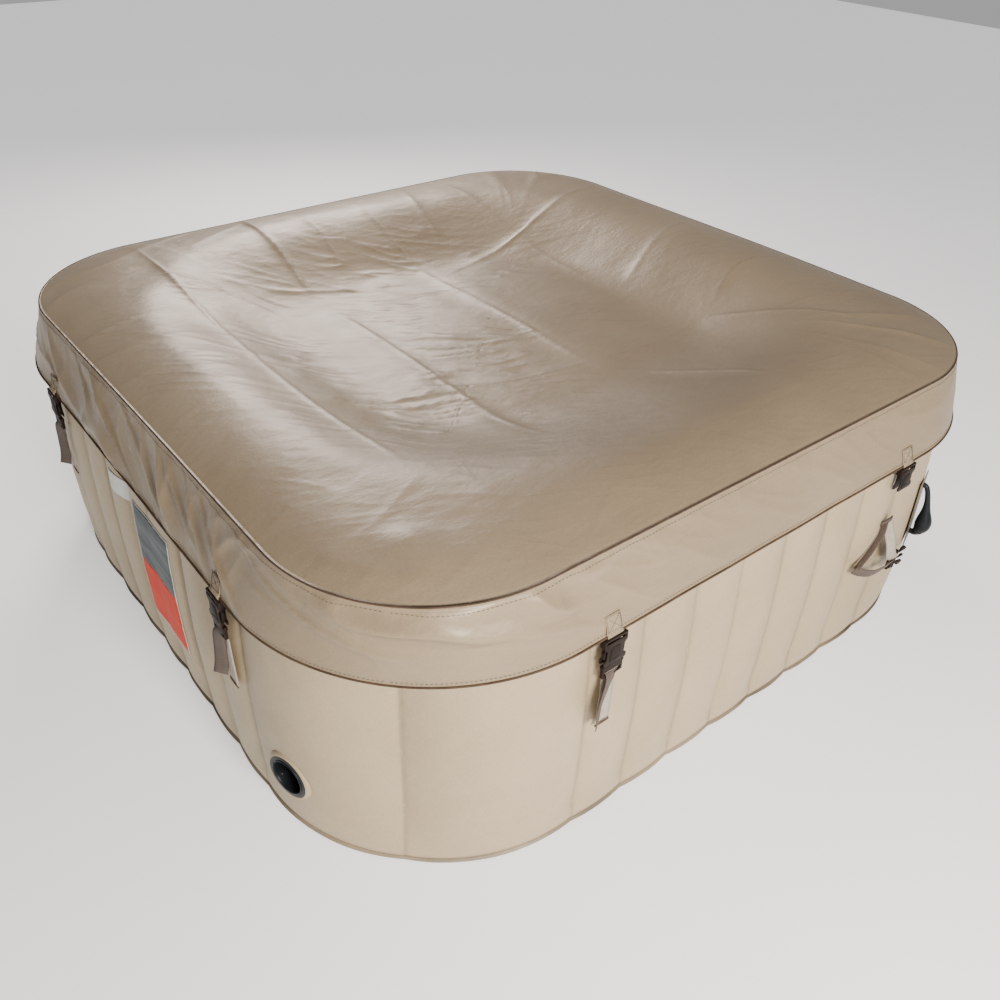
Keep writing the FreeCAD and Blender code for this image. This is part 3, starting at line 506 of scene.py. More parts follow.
STEEL = brushed_metal()
WEBBING = webbing_cloth("webbing", (0.26, 0.21, 0.16), (0.56, 0.5, 0.43))
STRAP_CLOTH = webbing_cloth("strap_cloth", (0.225, 0.168, 0.105), (0.295, 0.225, 0.145))
# the same herringbone webbing, much darker: painted shade for the loose ends, strand and tab that hang in
# shadow
SHADED_WEBBING = webbing_cloth("shaded_webbing", (0.05, 0.032, 0.024), (0.12, 0.085, 0.062))
THREAD = plastic("thread", (0.06, 0.04, 0.028), (0.12, 0.085, 0.06), 0.7, 0.0004, 2200.0)
LABEL_GREY = label_print("label_grey", (0.055, 0.068, 0.072), (0.13, 0.15, 0.155))
LABEL_ORANGE = label_print("label_orange", (0.56, 0.02, 0.0), (0.68, 0.032, 0.0))
LABEL_EDGE = label_print("label_edge", (0.55, 0.55, 0.52), (0.66, 0.66, 0.63))

SLOT_MATERIALS = {
    "wall_vinyl": WALL_VINYL, "liner_vinyl": LINER_VINYL, "base_vinyl": BASE_VINYL_AND_SHADE,
    "cover_fabric": COVER_FABRIC, "binding": BINDING, "webbing": BINDING,
    "buckle_plastic": BUCKLE_PLASTIC, "black_plastic": BLACK_PLASTIC, "grey_plastic": GREY_PLASTIC,
    "panel_plastic": PANEL_PLASTIC, "white_pipe": WHITE_PIPE, "button_rubber": BUTTON_RUBBER,
    "display_glass": DISPLAY, "board": BOARD, "steel": STEEL, "filter_media": PLEATS, "label": LABEL_ORANGE,
}


def dress_nodes():
    """Gives every CAD node the material of its slot."""
    for entry in frame["record"]["subparts"]:
        node = frame["nodes"][entry["node"]]
        node.data.materials.clear()
        node.data.materials.append(SLOT_MATERIALS[entry["material_slot"]])


dress_nodes()


# ---- The shape of the wall ----
def outline(chamber, half, radius):
    """Points round a square with round corners, and their outward directions.

    chamber counts air chambers from the -Y end of the +X side, RIBS to a side and
    CORNER_RIBS to a corner, and may be fractional."""
    chamber, half, radius = np.broadcast_arrays(*(np.asarray(v, float) for v in (chamber, half, radius)))
    quarter, part = np.divmod(chamber, QUARTER)
    reach = half - radius
    on_side = part < RIBS
    angle = np.where(on_side, 0, (part - RIBS) / CORNER_RIBS * np.pi / 2)
    x = np.where(on_side, half, reach + radius * np.cos(angle))
    y = np.where(on_side, (part / RIBS * 2 - 1) * reach, reach + radius * np.sin(angle))
    turn = quarter * np.pi / 2
    out = angle + turn
    return (
        np.stack([x * np.cos(turn) - y * np.sin(turn), x * np.sin(turn) + y * np.cos(turn)], -1),
        np.stack([np.cos(out), np.sin(out)], -1),
    )


# Height and outward offset of the inflated wall's outer half, from its foot to its crest.
OUTER_SECTION = [
    (0.000, 0.003), (0.006, 0.02), (0.0115, 0.06), (0.017, 0.13), (0.022, 0.24), (BULGE, 0.34),
    (0.021, 0.44), (0.0165, 0.52), (0.006, 0.575), (-0.018, 0.617), (-0.056, 0.643),
    (-WALL_DEPTH / 2, CREST),
]
# The same for the inner half; the offset is inward from the inner skin.
INNER_SECTION = [
    (-WALL_DEPTH / 2, CREST), (-0.055, 0.643), (-0.02, 0.617), (-0.002, 0.57), (0.000, 0.5),
    (0.000, 0.35), (0.000, 0.18), (0.000, 0.06), (-0.001, FLOOR + 0.001),
]
RIB_DEPTH = 0.0135
LABEL_SPAN, LABEL_HEIGHTS = (30.42, 31.79), (0.145, 0.445)  # in chambers and in metres


def behind_label(chamber, height):
    """1 where the stiff label holds the wall flat, falling to 0 round it."""
    (left, right), (low, high) = LABEL_SPAN, LABEL_HEIGHTS
    side = smooth((chamber - left) / 0.3 + 1) * smooth((right - chamber) / 0.3 + 1)
    return side * smooth((height - low) / 0.06 + 1) * smooth((high - height) / 0.06 + 1)


def weld_dip(chamber, height):
    """How far the wall draws in towards the baffle between two chambers, in metres."""
    number = np.floor(chamber)
    own = 1 + 0.14 * np.sin(number * 2.4) + 0.08 * np.sin(number * 5.1 + 1)
    # the weld between the two wide corner chambers is deeper, except at its foot
    own += 1.2 * smooth(1 - np.abs(np.mod(chamber, QUARTER) - RIBS - 1)) * smooth(height / 0.19)
    fade = (0.3 + 0.7 * smooth(height / 0.07)) * (1 - 0.45 * smooth((height - 0.44) / 0.12))
    fade = fade * (1 - 0.85 * behind_label(chamber, height))
    return RIB_DEPTH * own * (2 * np.mod(chamber, 1.0) - 1) ** 2 * fade * (1 - smooth((height - 0.59) / 0.06))


def near_weld(chamber):
    """1 on the weld between two chambers, falling to 0 within a few millimetres."""
    part = np.mod(chamber, 1.0)
    width = np.where(np.mod(chamber, QUARTER) < RIBS, 2 * CENTRE / RIBS, FOOT_RADIUS * np.pi / 4)
    return bell(np.minimum(part, 1 - part) * width / 0.004)


def section_point(section, share):
    """Offset and height at a share of the way along a section."""
    line = curve_through(section, 160)
    steps = length_along(line)
    share = np.asarray(share, float) * steps[-1]
    return np.interp(share, steps, line[:, 0]), np.interp(share, steps, line[:, 1])


def wall_surface(chamber, share, inner=False):
    """Points of one skin of the inflated wall; share runs from 0 at its start to 1 at its end."""
    chamber, share = np.broadcast_arrays(np.asarray(chamber, float), np.asarray(share, float))
    offset, height = section_point(INNER_SECTION if inner else OUTER_SECTION, share)
    seam = np.floor(chamber + 0.5)
    slack = 0.0011 * noise(chamber * 3.1, height * 9, 11) + 0.0007 * noise(chamber * 9, height * 26, 12)
    pucker = 0.0022 * near_weld(chamber) * noise(seam * 7.7 + 0.3, height * 40, 13)
    move = offset - weld_dip(chamber, height) - np.abs(slack + pucker) * smooth(height / 0.05)
    spot, out = outline(chamber, INNER_HALF if inner else FOOT_HALF, INNER_RADIUS if inner else FOOT_RADIUS)
    xy = spot + out * (-move if inner else move)[..., None]
    return np.concatenate([xy, height[..., None]], -1)


def chamber_steps(per_rib, per_corner_rib):
    """Chamber numbers round the whole tub, closer together beside the welds."""
    steps = []
    for number in range(SIDES * QUARTER):
        count = per_rib if number % QUARTER < RIBS else per_corner_rib
        even = np.linspace(0, 1, count, endpoint=False)
        steps.append(number + 0.5 * even + 0.25 * (1 - np.cos(even * np.pi)))
    return np.concatenate(steps)


BAY_HALF_ANGLE = math.radians(22.2)
LID_INNER, LID_OUTER = 0.238, 0.414
DRAIN_ANGLE = math.radians(-75)
DRAIN_HEIGHT = sum(corner.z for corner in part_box("drain_flange")) / 2
DRAIN_HOLE = 0.0455


def beside_openings(points):
    """True where a wall skin isn't cut away for the equipment lid or the drain."""
    x, y, z = points[..., 0] - CENTRE, points[..., 1] + CENTRE, points[..., 2]
    radius = np.hypot(x, y)
    in_sector = (np.abs(np.arctan2(y, x) + math.pi / 4) < BAY_HALF_ANGLE) & (z > 0.55)
    lid = in_sector & (radius > LID_INNER) & (radius < LID_OUTER)
    across = radius * np.sin(np.arctan2(y, x) - DRAIN_ANGLE)
    facing = np.cos(np.arctan2(y, x) - DRAIN_ANGLE) > 0.9
    drain = (np.hypot(across, z - DRAIN_HEIGHT) < DRAIN_HOLE) & facing & (radius > 0.35)
    return ~(lid | drain)


def build_wall():
    columns = chamber_steps(14, 40)
    for name, node, inner, material, slot, rows in (
        ("outer_skin", "outer_wall", False, WALL_VINYL, "wall_vinyl", 110),
        ("inner_skin", "inner_wall", True, LINER_VINYL, "liner_vinyl", 60),
    ):
        share, chamber = np.meshgrid(np.linspace(0, 1, rows), columns, indexing="ij")
        points = wall_surface(chamber, share, inner)
        keep = beside_openings(points).reshape(-1)
        faces = grid_faces(rows, len(columns), closed=True)
        faces = faces[keep[faces].any(axis=1)]
        skin = add_mesh(name, points, faces[:, ::-1] if inner else faces, material)
        used = np.unique(faces)
        height = points[..., 2].reshape(-1)
        # painted shade along the welds between chambers, fading out towards the crest
        weld_shade = near_weld(chamber).reshape(-1) * smooth((0.63 - height) / 0.05)
        add_values(skin, "crease_shade", weld_shade[used])
        settle(thicken(skin, VINYL_THICKNESS), "tub", slot, node)


def build_baffles():
    """The sheets inside the wall that draw its two skins together at each weld."""
    rows, columns = 6, 24
    share, lean = np.linspace(0.02, 0.93, columns), np.linspace(0.004, 0.996, rows)[:, None, None]
    points, faces = [], []
    for number in range(SIDES * QUARTER):
        outer, inner = wall_surface(number, share), wall_surface(number, 1 - share, inner=True)
        faces.append(grid_faces(rows, columns) + number * rows * columns)
        points.append((outer * (1 - lean) + inner * lean).reshape(-1, 3))
    sheets = add_mesh("baffle_sheets", np.concatenate(points), np.concatenate(faces), LINER_VINYL)
    settle(thicken(sheets, 0.0006, 0), "tub", "liner_vinyl", "wall_baffles")


def build_base():
    """The ground sheet, with its scalloped welded flange, and the cushioned floor above it."""
    columns = chamber_steps(12, 24)
    arch = 1 - (2 * np.mod(columns, 1) - 1) ** 2
    spot, out = outline(columns, FOOT_HALF, FOOT_RADIUS)
    wave = 0.0012 * noise(columns * 2.3, 0, 21)
    edge = spot + out * (FLANGE * (0.3 + 0.7 * arch) - 0.0015 + wave)[:, None]
    rings = [
        (edge * 0.4, 0.0008), (edge - out * 0.012, 0.0006), (edge, 0.0006), (edge, 0.0028),
        (edge - out * 0.02, 0.0034),
    ]
    points = [(x, y, z) for ring, z in rings for x, y in ring]
    count = len(columns)
    faces = grid_faces(len(rings), count, closed=True).tolist() + [list(range(count))]
    # the ground sheet's near-black patches are painted contact shadow along the foot
    base = add_mesh("ground_sheet", points, faces, BASE_VINYL_AND_SHADE, solid=True)
    settle(base, "tub", "base_vinyl", "base_panel")

    rows = 60
    share, chamber = np.meshgrid(np.linspace(0, 1, rows), chamber_steps(5, 8), indexing="ij")
    spot, _ = outline(chamber, (INNER_HALF - 0.001) * share, INNER_RADIUS * share**3)
    x, y = spot[..., 0], spot[..., 1]
    pitch = 0.2
    off_x, off_y = (np.mod(v / pitch + 0.5, 1) - 0.5 for v in (x, y))
    dimple = np.exp(-((off_x**2 + off_y**2) / 0.012))
    z = FLOOR - 0.0008 - 0.0028 * dimple + 0.0006 * noise(x * 6, y * 6, 22)
    faces = grid_faces(rows, chamber.shape[1], closed=True)[:, ::-1]
    floor = add_mesh("floor_cushion", np.stack([x, y, z], -1), faces, LINER_VINYL)
    # painted shade in the floor's dimples
    add_values(floor, "crease_shade", dimple * 0.5)
    settle(thicken(floor, 0.0015), "tub", "liner_vinyl", "floor_liner")


def build_bubble_ring():
    """The air channel welded round the foot of the inner wall, with its rows of bubble holes."""
    low, high = (c.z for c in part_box("bubble_channel"))
    columns = chamber_steps(26, 26)
    rows = 13
    turn, chamber = np.meshgrid(np.linspace(0.02, math.pi * 0.94, rows), columns, indexing="ij")
    gather = np.abs(np.sin(chamber * 9 * math.pi))
    inset = 0.046 * (1 - np.cos(turn)) / 2 + 0.002
    height = low + (high - low - 0.001 - 0.0016 * gather) * np.sin(turn) ** 0.8
    spot, out = outline(chamber, INNER_HALF, INNER_RADIUS)
    points = np.concatenate([spot - out * inset[..., None], height[..., None]], -1)
    faces = grid_faces(rows, len(columns), closed=True)[:, ::-1]
    channel = add_mesh("bubble_ring", points, faces, LINER_VINYL)
    # painted shade in the channel's gathers
    add_values(channel, "crease_shade", gather**8 * 0.5)
    settle(thicken(channel, 0.001), "tub", "liner_vinyl", "bubble_channel")
    seats = np.arange(0, SIDES * QUARTER, 1 / 3) + 1 / 6
    spot, _ = outline(seats, INNER_HALF - 0.03, INNER_RADIUS - 0.03)
    eyelets = []
    for x, y in spot:
        path = [(x + 0.0028 * math.cos(a), y + 0.0028 * math.sin(a), high - 0.0022) for a in circle(12)]
        eyelets.append(tube("eyelet", path, 0.0008, GREY_PLASTIC, 5, closed=True))
    settle(join("bubble_eyelets", eyelets), "tub", "liner_vinyl")


# ---- The cover ----
# Folds kept from when the cover was packed flat: points along each, width, height, and lean of
# the panel to one side of it.
FOLDS = [
    ([(-0.86, -0.575), (-0.35, -0.57), (0.1, -0.572), (0.52, -0.56)], 0.008, 0.0042, 0.9),
    ([(-0.87, -0.25), (-0.62, -0.246), (-0.4, -0.252)], 0.01, 0.0075, 0.6),
    ([(-0.42, -0.252), (0.00, -0.244), (0.3, -0.255), (0.54, -0.246)], 0.007, 0.004, -0.8),
    ([(-0.86, 0.082), (-0.4, 0.076), (0.00, 0.084), (0.34, 0.078)], 0.007, 0.0034, 0.8),
    ([(-0.8, 0.42), (-0.45, 0.425), (0.00, 0.415)], 0.01, 0.0016, -0.4),
    ([(-0.47, -0.38), (-0.41, -0.16), (-0.33, 0.06)], 0.011, 0.0034, 0.6),
    ([(-0.33, 0.06), (-0.4, 0.4), (-0.5, 0.8)], 0.012, 0.0056, -0.6),
    ([(0.11, -0.57), (0.17, -0.41), (0.2, -0.26)], 0.008, 0.0042, 0.5),
    ([(0.2, -0.26), (0.26, -0.08), (0.29, 0.08)], 0.009, 0.0036, -0.5),
    ([(0.135, -0.55), (0.205, -0.39), (0.245, -0.24)], 0.006, 0.0026, 0.3),
    ([(0.085, -0.52), (0.13, -0.4), (0.165, -0.3)], 0.006, 0.0022, -0.3),
    ([(0.165, -0.48), (0.235, -0.36), (0.3, -0.22)], 0.006, 0.0018, 0.3),
    ([(0.39, 0.14), (0.52, 0.21), (0.67, 0.26)], 0.008, 0.003, 0.5),
    ([(0.29, 0.45), (0.46, 0.55), (0.63, 0.65)], 0.011, 0.004, -0.6),
    ([(0.29, 0.08), (0.31, 0.3), (0.28, 0.46)], 0.009, 0.0016, 0.5),
    ([(-0.84, -0.14), (-0.66, -0.1), (-0.5, -0.12)], 0.01, 0.0026, 0.4),
    ([(-0.88, 0.3), (-0.66, 0.24), (-0.46, 0.22)], 0.012, 0.0024, -0.4),
    ([(0.56, -0.2), (0.62, -0.02), (0.6, 0.2)], 0.013, 0.0014, 0.3),
    ([(-0.1, 0.84), (-0.05, 0.62), (0.02, 0.45)], 0.013, 0.0028, 0.4),
    ([(0.25, 0.82), (0.22, 0.66), (0.28, 0.5)], 0.012, 0.0022, -0.4),
    ([(-0.28, -0.8), (-0.2, -0.66), (-0.06, -0.5), (0.02, -0.3)], 0.012, 0.0022, 0.4),
    ([(-0.62, -0.66), (-0.5, -0.5), (-0.3, -0.36)], 0.011, 0.0022, -0.4),
]
BASIN_RIM, BASIN_FOOT, BASIN_DEPTH = 0.135, 0.5, 0.094
GRID = 320
SKIRT_ROWS = 30
FOLD_SAMPLES = 48
# depth below its neighbours at which a vertex gets the full painted crease shade
CREASE_SHADE_DEPTH = 0.0006
SEAM_STITCHES, BOX_STITCHES = (0.0078, 0.0052, 0.00055), (0.0036, 0.0026, 0.0006)  # pitch, length, radius


def fold_height(x, y):
    """Height of all the long folds at points of the top panel."""
    total = np.zeros_like(x)
    for points, width, height, lean in FOLDS:
        line = curve_through(points, FOLD_SAMPLES)
        best, side, along = np.full(x.shape, 9.0), np.zeros_like(x), np.zeros_like(x)
        for k, (a, b) in enumerate(zip(line[:-1], line[1:])):
            run = b - a
            t = np.clip(((x - a[0]) * run[0] + (y - a[1]) * run[1]) / (run @ run), 0, 1)
            dx, dy = x - a[0] - t * run[0], y - a[1] - t * run[1]
            gap = np.hypot(dx, dy)
            closer = gap < best
            best = np.where(closer, gap, best)
            side = np.where(closer, np.sign(run[0] * dy - run[1] * dx), side)
            along = np.where(closer, (k + t) / (FOLD_SAMPLES - 1), along)
        taper = smooth(along / 0.18) * smooth((1 - along) / 0.18)
        wander = 1 + 0.3 * noise(along * 7, height * 900, 31)
        sharp = height * np.exp(-best / (width * 0.7))
        tilt = 0.005 * lean * bell(best / 0.055) * (best / 0.055) * side
        total += taper * wander * (0.75 * sharp + tilt)
    return total


def cover_top_height(x, y, inward):
    """Height of the top panel; inward is the distance in from its seam."""
    calm = smooth(inward / 0.05)
    rim = 0.027 * (1 - (1 - np.clip(inward / 0.17, 0, 1)) ** 2.2) - 0.0002
    bowl = ((np.abs(x) / SEAM_HALF) ** 3.2 + (np.abs(y) / SEAM_HALF) ** 3.2) ** (1 / 3.2)
    bowl = SEAM_HALF * (1 - bowl) + 0.016 * noise(x * 2.1, y * 2.1, 30)
    drop = BASIN_DEPTH * smooth((bowl - BASIN_RIM) / (BASIN_FOOT - BASIN_RIM))
    drop = drop * (1 - 0.22 * smooth((x - 0.15) / 0.6))
    z = SEAM_HEIGHT - 0.013 * smooth((0.3 - x) / 1.1) + rim - drop
    z += calm * 0.004 * noise(x * 2.6 + 0.4, y * 2.2, 32) + calm * 0.0016 * noise(x * 7, y * 6, 33)
    z += calm * fold_height(x, y)
    # crinkles where the slack cloth is lightly stretched; they run across the long folds
    a, b = 0.5 * x + 0.866 * y, -0.866 * x + 0.5 * y
    zone = bell((x + 0.02) / 0.36, (y + 0.28) / 0.3) + 0.14
    zone += 0.4 * bell((x + 0.4) / 0.26, (y - 0.05) / 0.3)
    zone += 0.45 * bell((x - 0.22) / 0.26, (y + 0.42) / 0.24)
    patch = smooth(0.5 + noise(x * 5, y * 5, 34))
    a2, b2 = a + 0.03 * noise(x * 5, y * 5, 35), b + 0.025 * noise(x * 5, y * 5, 46)
    fine = ridge(a2 * 4.5, b2 * 24, 36) ** 3 - 0.22
    finer = ridge(a2 * 9 + 3, b2 * 44, 37) ** 3 - 0.22
    broad = ridge(a2 * 2.0, b2 * 8.5, 38) ** 4 - 0.2
    z += calm * np.clip(zone, 0, 1) * (0.0042 * fine * patch + 0.0013 * finer * patch + 0.0014 * broad)
    # the lobed lid of the equipment bay showing through
    dx, dy = x - CENTRE, y + CENTRE
    radius, angle = np.hypot(dx, dy), np.degrees(np.arctan2(dy, dx)) + 45
    lid = np.exp(-(((radius - 0.365) / 0.075) ** 4)) * np.exp(-((angle / 21) ** 4))
    lobes = 0.7 + 0.25 * np.cos(np.radians(angle * 14)) + 0.35 * noise(x * 14, y * 14, 39)
    z += calm * 0.007 * lid * lobes
    # short folds that run in from the seam along the left side
    pulled = np.exp(-inward / 0.13) * smooth(-y / 0.5) * (0.3 + 0.7 * smooth((0.2 - x) / 0.7))
    z += calm * pulled * 0.0055 * (ridge(x * 6.5 + y * 1.5, y * 2.2 + 0.02 * x, 50) ** 2.4 - 0.3)
    # gathers drawn in by the seam at the corners
    corner = bell((np.abs(x) - 0.7) / 0.16, (np.abs(y) - 0.7) / 0.16)
    corner *= np.where((x > 0) & (y < 0), 0.35, 1.0)
    turn = np.arctan2(np.abs(y) - 0.42, np.abs(x) - 0.42)
    gathers = ridge(turn * 3.6 + np.sign(x) * 3.3 + np.sign(y), radius * 1.5, 40) ** 2 - 0.3
    return z + calm * corner * 0.005 * gathers


def cover_rings():
    """How far out each vertex of the top panel's grid lies, from 0 to 1, and its chamber number."""
    line = np.linspace(-1, 1, GRID + 1)
    u, v = np.meshgrid(line, line, indexing="ij")
    reach = np.maximum(np.abs(u), np.abs(v))
    safe = np.where(reach > 0, reach, 1)
    right, top = (np.abs(u) >= np.abs(v)) & (u > 0), (np.abs(v) > np.abs(u)) & (v > 0)
    left = (np.abs(u) >= np.abs(v)) & (u <= 0)
    side = np.where(right, 0, np.where(top, 1, np.where(left, 2, 3)))
    across = np.choose(side, [v / safe, -u / safe, -v / safe, u / safe])
    half_side, half_corner = SEAM_HALF - SEAM_RADIUS, SEAM_RADIUS * math.pi / 4
    walk = across * (half_side + half_corner)
    on_side = np.abs(walk) < half_side
    edge = np.sign(walk) * (np.abs(walk) - half_side) / half_corner
    part = np.where(on_side, (walk / half_side + 1) / 2 * RIBS, np.where(walk > 0, RIBS + edge, edge))
    chamber = np.mod(side * QUARTER + part, SIDES * QUARTER)
    return reach, chamber


def skirt_push(chamber, drop):
    """How far the skirt's folds stand out; drop runs from 0 at the seam to 1 at the hem."""
    walk = np.mod(chamber - 12.5, SIDES * QUARTER)  # starts in the middle of the far side
    run = walk * 0.178
    deep = 0.15 + 0.85 * bell((walk - 18) / 4.2)  # the folds are deep near the drain's corner
    slant = 0.215 * drop + 0.025 * noise(run * 1.5, drop, 47)
    folds = ridge((run - slant) * 2.7, drop * 0.5 + 1, 41) ** 3 - 0.22
    leaves = ridge((run - slant * 1.3) * 6.2, drop * 0.8 + 4, 42) ** 4 - 0.18
    counter = ridge((run - slant * 0.35) * 4.4, drop * 0.7 + 9, 48) ** 3 - 0.22
    swell = np.sin(drop * math.pi) ** 0.8
    hem_wave = 0.0016 * noise(run * 3.5, 2, 43) * drop
    push = swell * deep * (0.0165 * folds + 0.0085 * leaves + 0.005 * counter) + hem_wave
    gathers = np.exp(-drop / 0.22) * smooth(drop / 0.05)
    push += gathers * (0.45 + 0.55 * deep) * 0.0036 * (ridge(run * 16, drop * 2, 44) ** 2 - 0.3)
    near = bell((walk - 22.6) / 1.7) * np.sin(min(drop / 0.5, 1) * math.pi)
    push += near * 0.02 * (ridge(run * 6.5 + 0.4, drop * 1.5, 49) ** 1.5 - 0.2)
    return np.maximum(push + 0.0024 * swell, -0.0025)  # where it is pushed in, it rests on the wall


def crease_shade_values(thing):
    """Stores how deep each vertex lies below its neighbours, as the strength of the painted crease shade."""
    mesh = thing.data
    count = len(mesh.vertices)
    spots, normals = np.empty(count * 3), np.empty(count * 3)
    mesh.vertices.foreach_get("co", spots)
    mesh.vertices.foreach_get("normal", normals)
    spots, normals = spots.reshape(-1, 3), normals.reshape(-1, 3)
    ends = np.empty(len(mesh.edges) * 2, np.int64)
    mesh.edges.foreach_get("vertices", ends)
    a, b = ends.reshape(-1, 2).T
    total, number = np.zeros((count, 3)), np.zeros(count)
    for i, j in ((a, b), (b, a)):
        for k in range(3):
            total[:, k] += np.bincount(i, spots[j, k], count)
        number += np.bincount(i, minlength=count)
    lift = ((spots - total / number[:, None]) * normals).sum(1)
    add_values(thing, "crease_shade", np.clip(-lift / CREASE_SHADE_DEPTH, 0, 1))


def build_cover():
    """One cloth: the dished top panel and the skirt sewn to it. Returns the cloth and the skirt's rows."""
    reach, chamber = cover_rings()
    spot, _ = outline(chamber, SEAM_HALF * reach, SEAM_RADIUS * reach**3)
    x, y = spot[..., 0], spot[..., 1]
    z = cover_top_height(x, y, SEAM_HALF * (1 - reach))
    top = np.stack([x, y, z], -1).reshape(-1, 3)
    index = np.arange((GRID + 1) ** 2).reshape(GRID + 1, GRID + 1)
    # once round, from the -Y end of the +X side
    border = np.concatenate([index[-1, :-1], index[:0:-1, -1], index[0, :0:-1], index[:-1, 0]])
    edge = chamber.reshape(-1)[border]
    seam = top[border]
    hem_spot, hem_out = outline(edge, HEM_HALF - 0.0012, HEM_RADIUS)
    rows = [seam]
    for k in range(1, SKIRT_ROWS + 1):
        drop = k / SKIRT_ROWS
        xy = seam[:, :2] * (1 - drop) + hem_spot * drop + hem_out * skirt_push(edge, drop)[:, None]
        height = seam[:, 2] * (1 - drop) + (HEM_HEIGHT + 0.0015 * noise(edge * 0.9, 3, 45)) * drop
        rows.append(np.column_stack([xy, height]))
    skirt = np.array(rows)
    below = len(top) + np.arange(SKIRT_ROWS * len(border)).reshape(SKIRT_ROWS, -1)
    ids = np.vstack([border, below])
    after = np.roll(ids, -1, 1)
    sides = np.stack([ids[:-1], ids[1:], after[1:], after[:-1]], -1).reshape(-1, 4)
    faces = np.vstack([grid_faces(GRID + 1, GRID + 1), sides])
    cover = add_mesh("cover_cloth", np.vstack([top, skirt[1:].reshape(-1, 3)]), faces, COVER_FABRIC)
    crease_shade_values(cover)
    settle(thicken(cover, CLOTH_THICKNESS), "cover", "cover_fabric", "cover_top", "cover_skirt")
    return cover, skirt


def build_cover_trim(skirt):
    """Piping and stitches along the seam, and the folded tape round the hem."""
    seam, hem = skirt[0], skirt[-1]
    away = hem[:, :2] - seam[:, :2] * 0.97
    away = unit(np.column_stack([away, np.zeros(len(away))]))
    for name, path, radius, sides, node in (
        ("seam_cord", seam + away * 0.001 + [0, 0, 0.0003], 0.0015, 8, "seam_piping"),
        ("hem_tape", hem + away * 0.0004 + [0, 0, 0.0018], 0.0022, 6, "hem_binding"),
    ):
        settle(tube(name, path, radius, BINDING, sides, closed=True), "cover", "binding", node)
    for name, path in (
        ("seam_stitches", skirt[2] + away * 0.0008),
        ("seam_inner_stitches", seam * [0.991, 0.991, 1] + [0, 0, 0.0016]),
        ("hem_stitches", skirt[-3] + away * 0.0012),
    ):
        settle(stitches(name, path, *SEAM_STITCHES), "cover", "binding")


# ---- Buckles and straps ----
def mirrored(points):
    """A closed outline from its right half, bottom to top."""
    return list(points) + [(-a, u) for a, u in reversed(points)]


def make_socket():
    """The upper half of a side-release buckle, open inside for the prongs."""
    back, front = BUCKLE_BACK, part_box("buckle_sockets")[1].x
    low, high, half = SOCKET_LOW, SOCKET_HIGH, 0.0268
    shape = mirrored([
        (0.0205, low + 0.001), (0.0255, low + 0.004), (0.0262, low + 0.012), (0.0205, low + 0.0155),
        (0.0195, low + 0.034), (0.0225, low + 0.0385), (0.0265, low + 0.042), (half, high - 0.009),
    ])
    parts = [
        plate(shape, front - 0.003, front - 0.0006, 0.0009),
        plate(shape, back, back + 0.0022, 0.0007),
        bar((back, -half, high - 0.0045), (front - 0.0008, half, high), 0.0012),
    ]
    for a, b in ((-half, -0.0215), (0.0215, half)):
        parts.append(bar((back, a, high - 0.018), (front - 0.0012, b, high - 0.002), 0.001))
    raised = [(0.012, low + 0.006), (0.0135, low + 0.01), (0.011, low + 0.036), (0.007, low + 0.04)]
    groove = [(0.01, low + 0.012), (0.01, low + 0.0135)]
    parts.append(plate(mirrored(raised), front - 0.0012, front + 0.0004, 0.0008))
    parts.append(plate(mirrored(groove), front, front + 0.0009, 0.0003))
    return join("socket", parts)


def make_plug():
    """The lower half: a ladder for the webbing, a guide and two sprung prongs."""
    (back, _, low), (front, _, high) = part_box("buckle_plug_1")
    middle, thin, shoulder = (back + front) / 2, 0.0028, SOCKET_LOW - 0.0012
    parts = [
        bar((back, -0.0245, shoulder - 0.0075), (front, 0.0245, shoulder), 0.0014),
        bar((back + 0.0008, -0.023, low + 0.0125), (front - 0.0008, 0.023, shoulder - 0.006), 0.0016),
        bar((back + 0.001, -0.0205, low), (front - 0.001, 0.0205, low + 0.0048), 0.0018),
    ]
    arm = [
        (0.0125, shoulder - 0.002), (0.017, shoulder - 0.002), (0.0178, SOCKET_LOW + 0.014),
        (0.0252, SOCKET_LOW + 0.0175), (0.025, SOCKET_LOW + 0.03), (0.019, high), (0.015, high - 0.004),
        (0.014, SOCKET_LOW + 0.016),
    ]
    for sign in (-1, 1):
        a, b = sorted((sign * 0.0238, sign * 0.019))
        parts.append(bar((back + 0.001, a, low + 0.001), (front - 0.001, b, shoulder - 0.002), 0.0014))
        parts.append(plate([(sign * a, u) for a, u in arm], middle - thin, middle + thin, 0.001))
    guide = bar((middle - thin, -0.0028, shoulder - 0.002), (middle + thin, 0.0028, high - 0.006), 0.001)
    return join("plug", parts + [guide])


def skirt_face(skirt, side, along, up):
    """How far out the skirt stands at a place on a side."""
    turn = -side * math.pi / 2
    x = skirt[..., 0] * math.cos(turn) - skirt[..., 1] * math.sin(turn)
    y = skirt[..., 0] * math.sin(turn) + skirt[..., 1] * math.cos(turn)
    gap = (y - along) ** 2 + (skirt[..., 2] - up) ** 2
    near = np.argsort(np.where(x > 0, gap, 9), axis=None)[:4]
    return float(x.ravel()[near].mean())


def cross_stitched_box(face, low, high, half):
    """Thread sewn round a box and corner to corner, on a surface that stands face(up) out."""
    corners = [
        (-half, low), (half, low), (half, high), (-half, high),
        (-half, low), (half, high), (half, low), (-half, high),
    ]
    path = []
    for (a, u), (b, w) in zip(corners[:-1], corners[1:]):
        for t in np.linspace(0, 1, 9)[:-1]:
            up = u + (w - u) * t
            path.append((face(up), a + (b - a) * t, up))
    return stitches("box_stitches", path, *BOX_STITCHES)


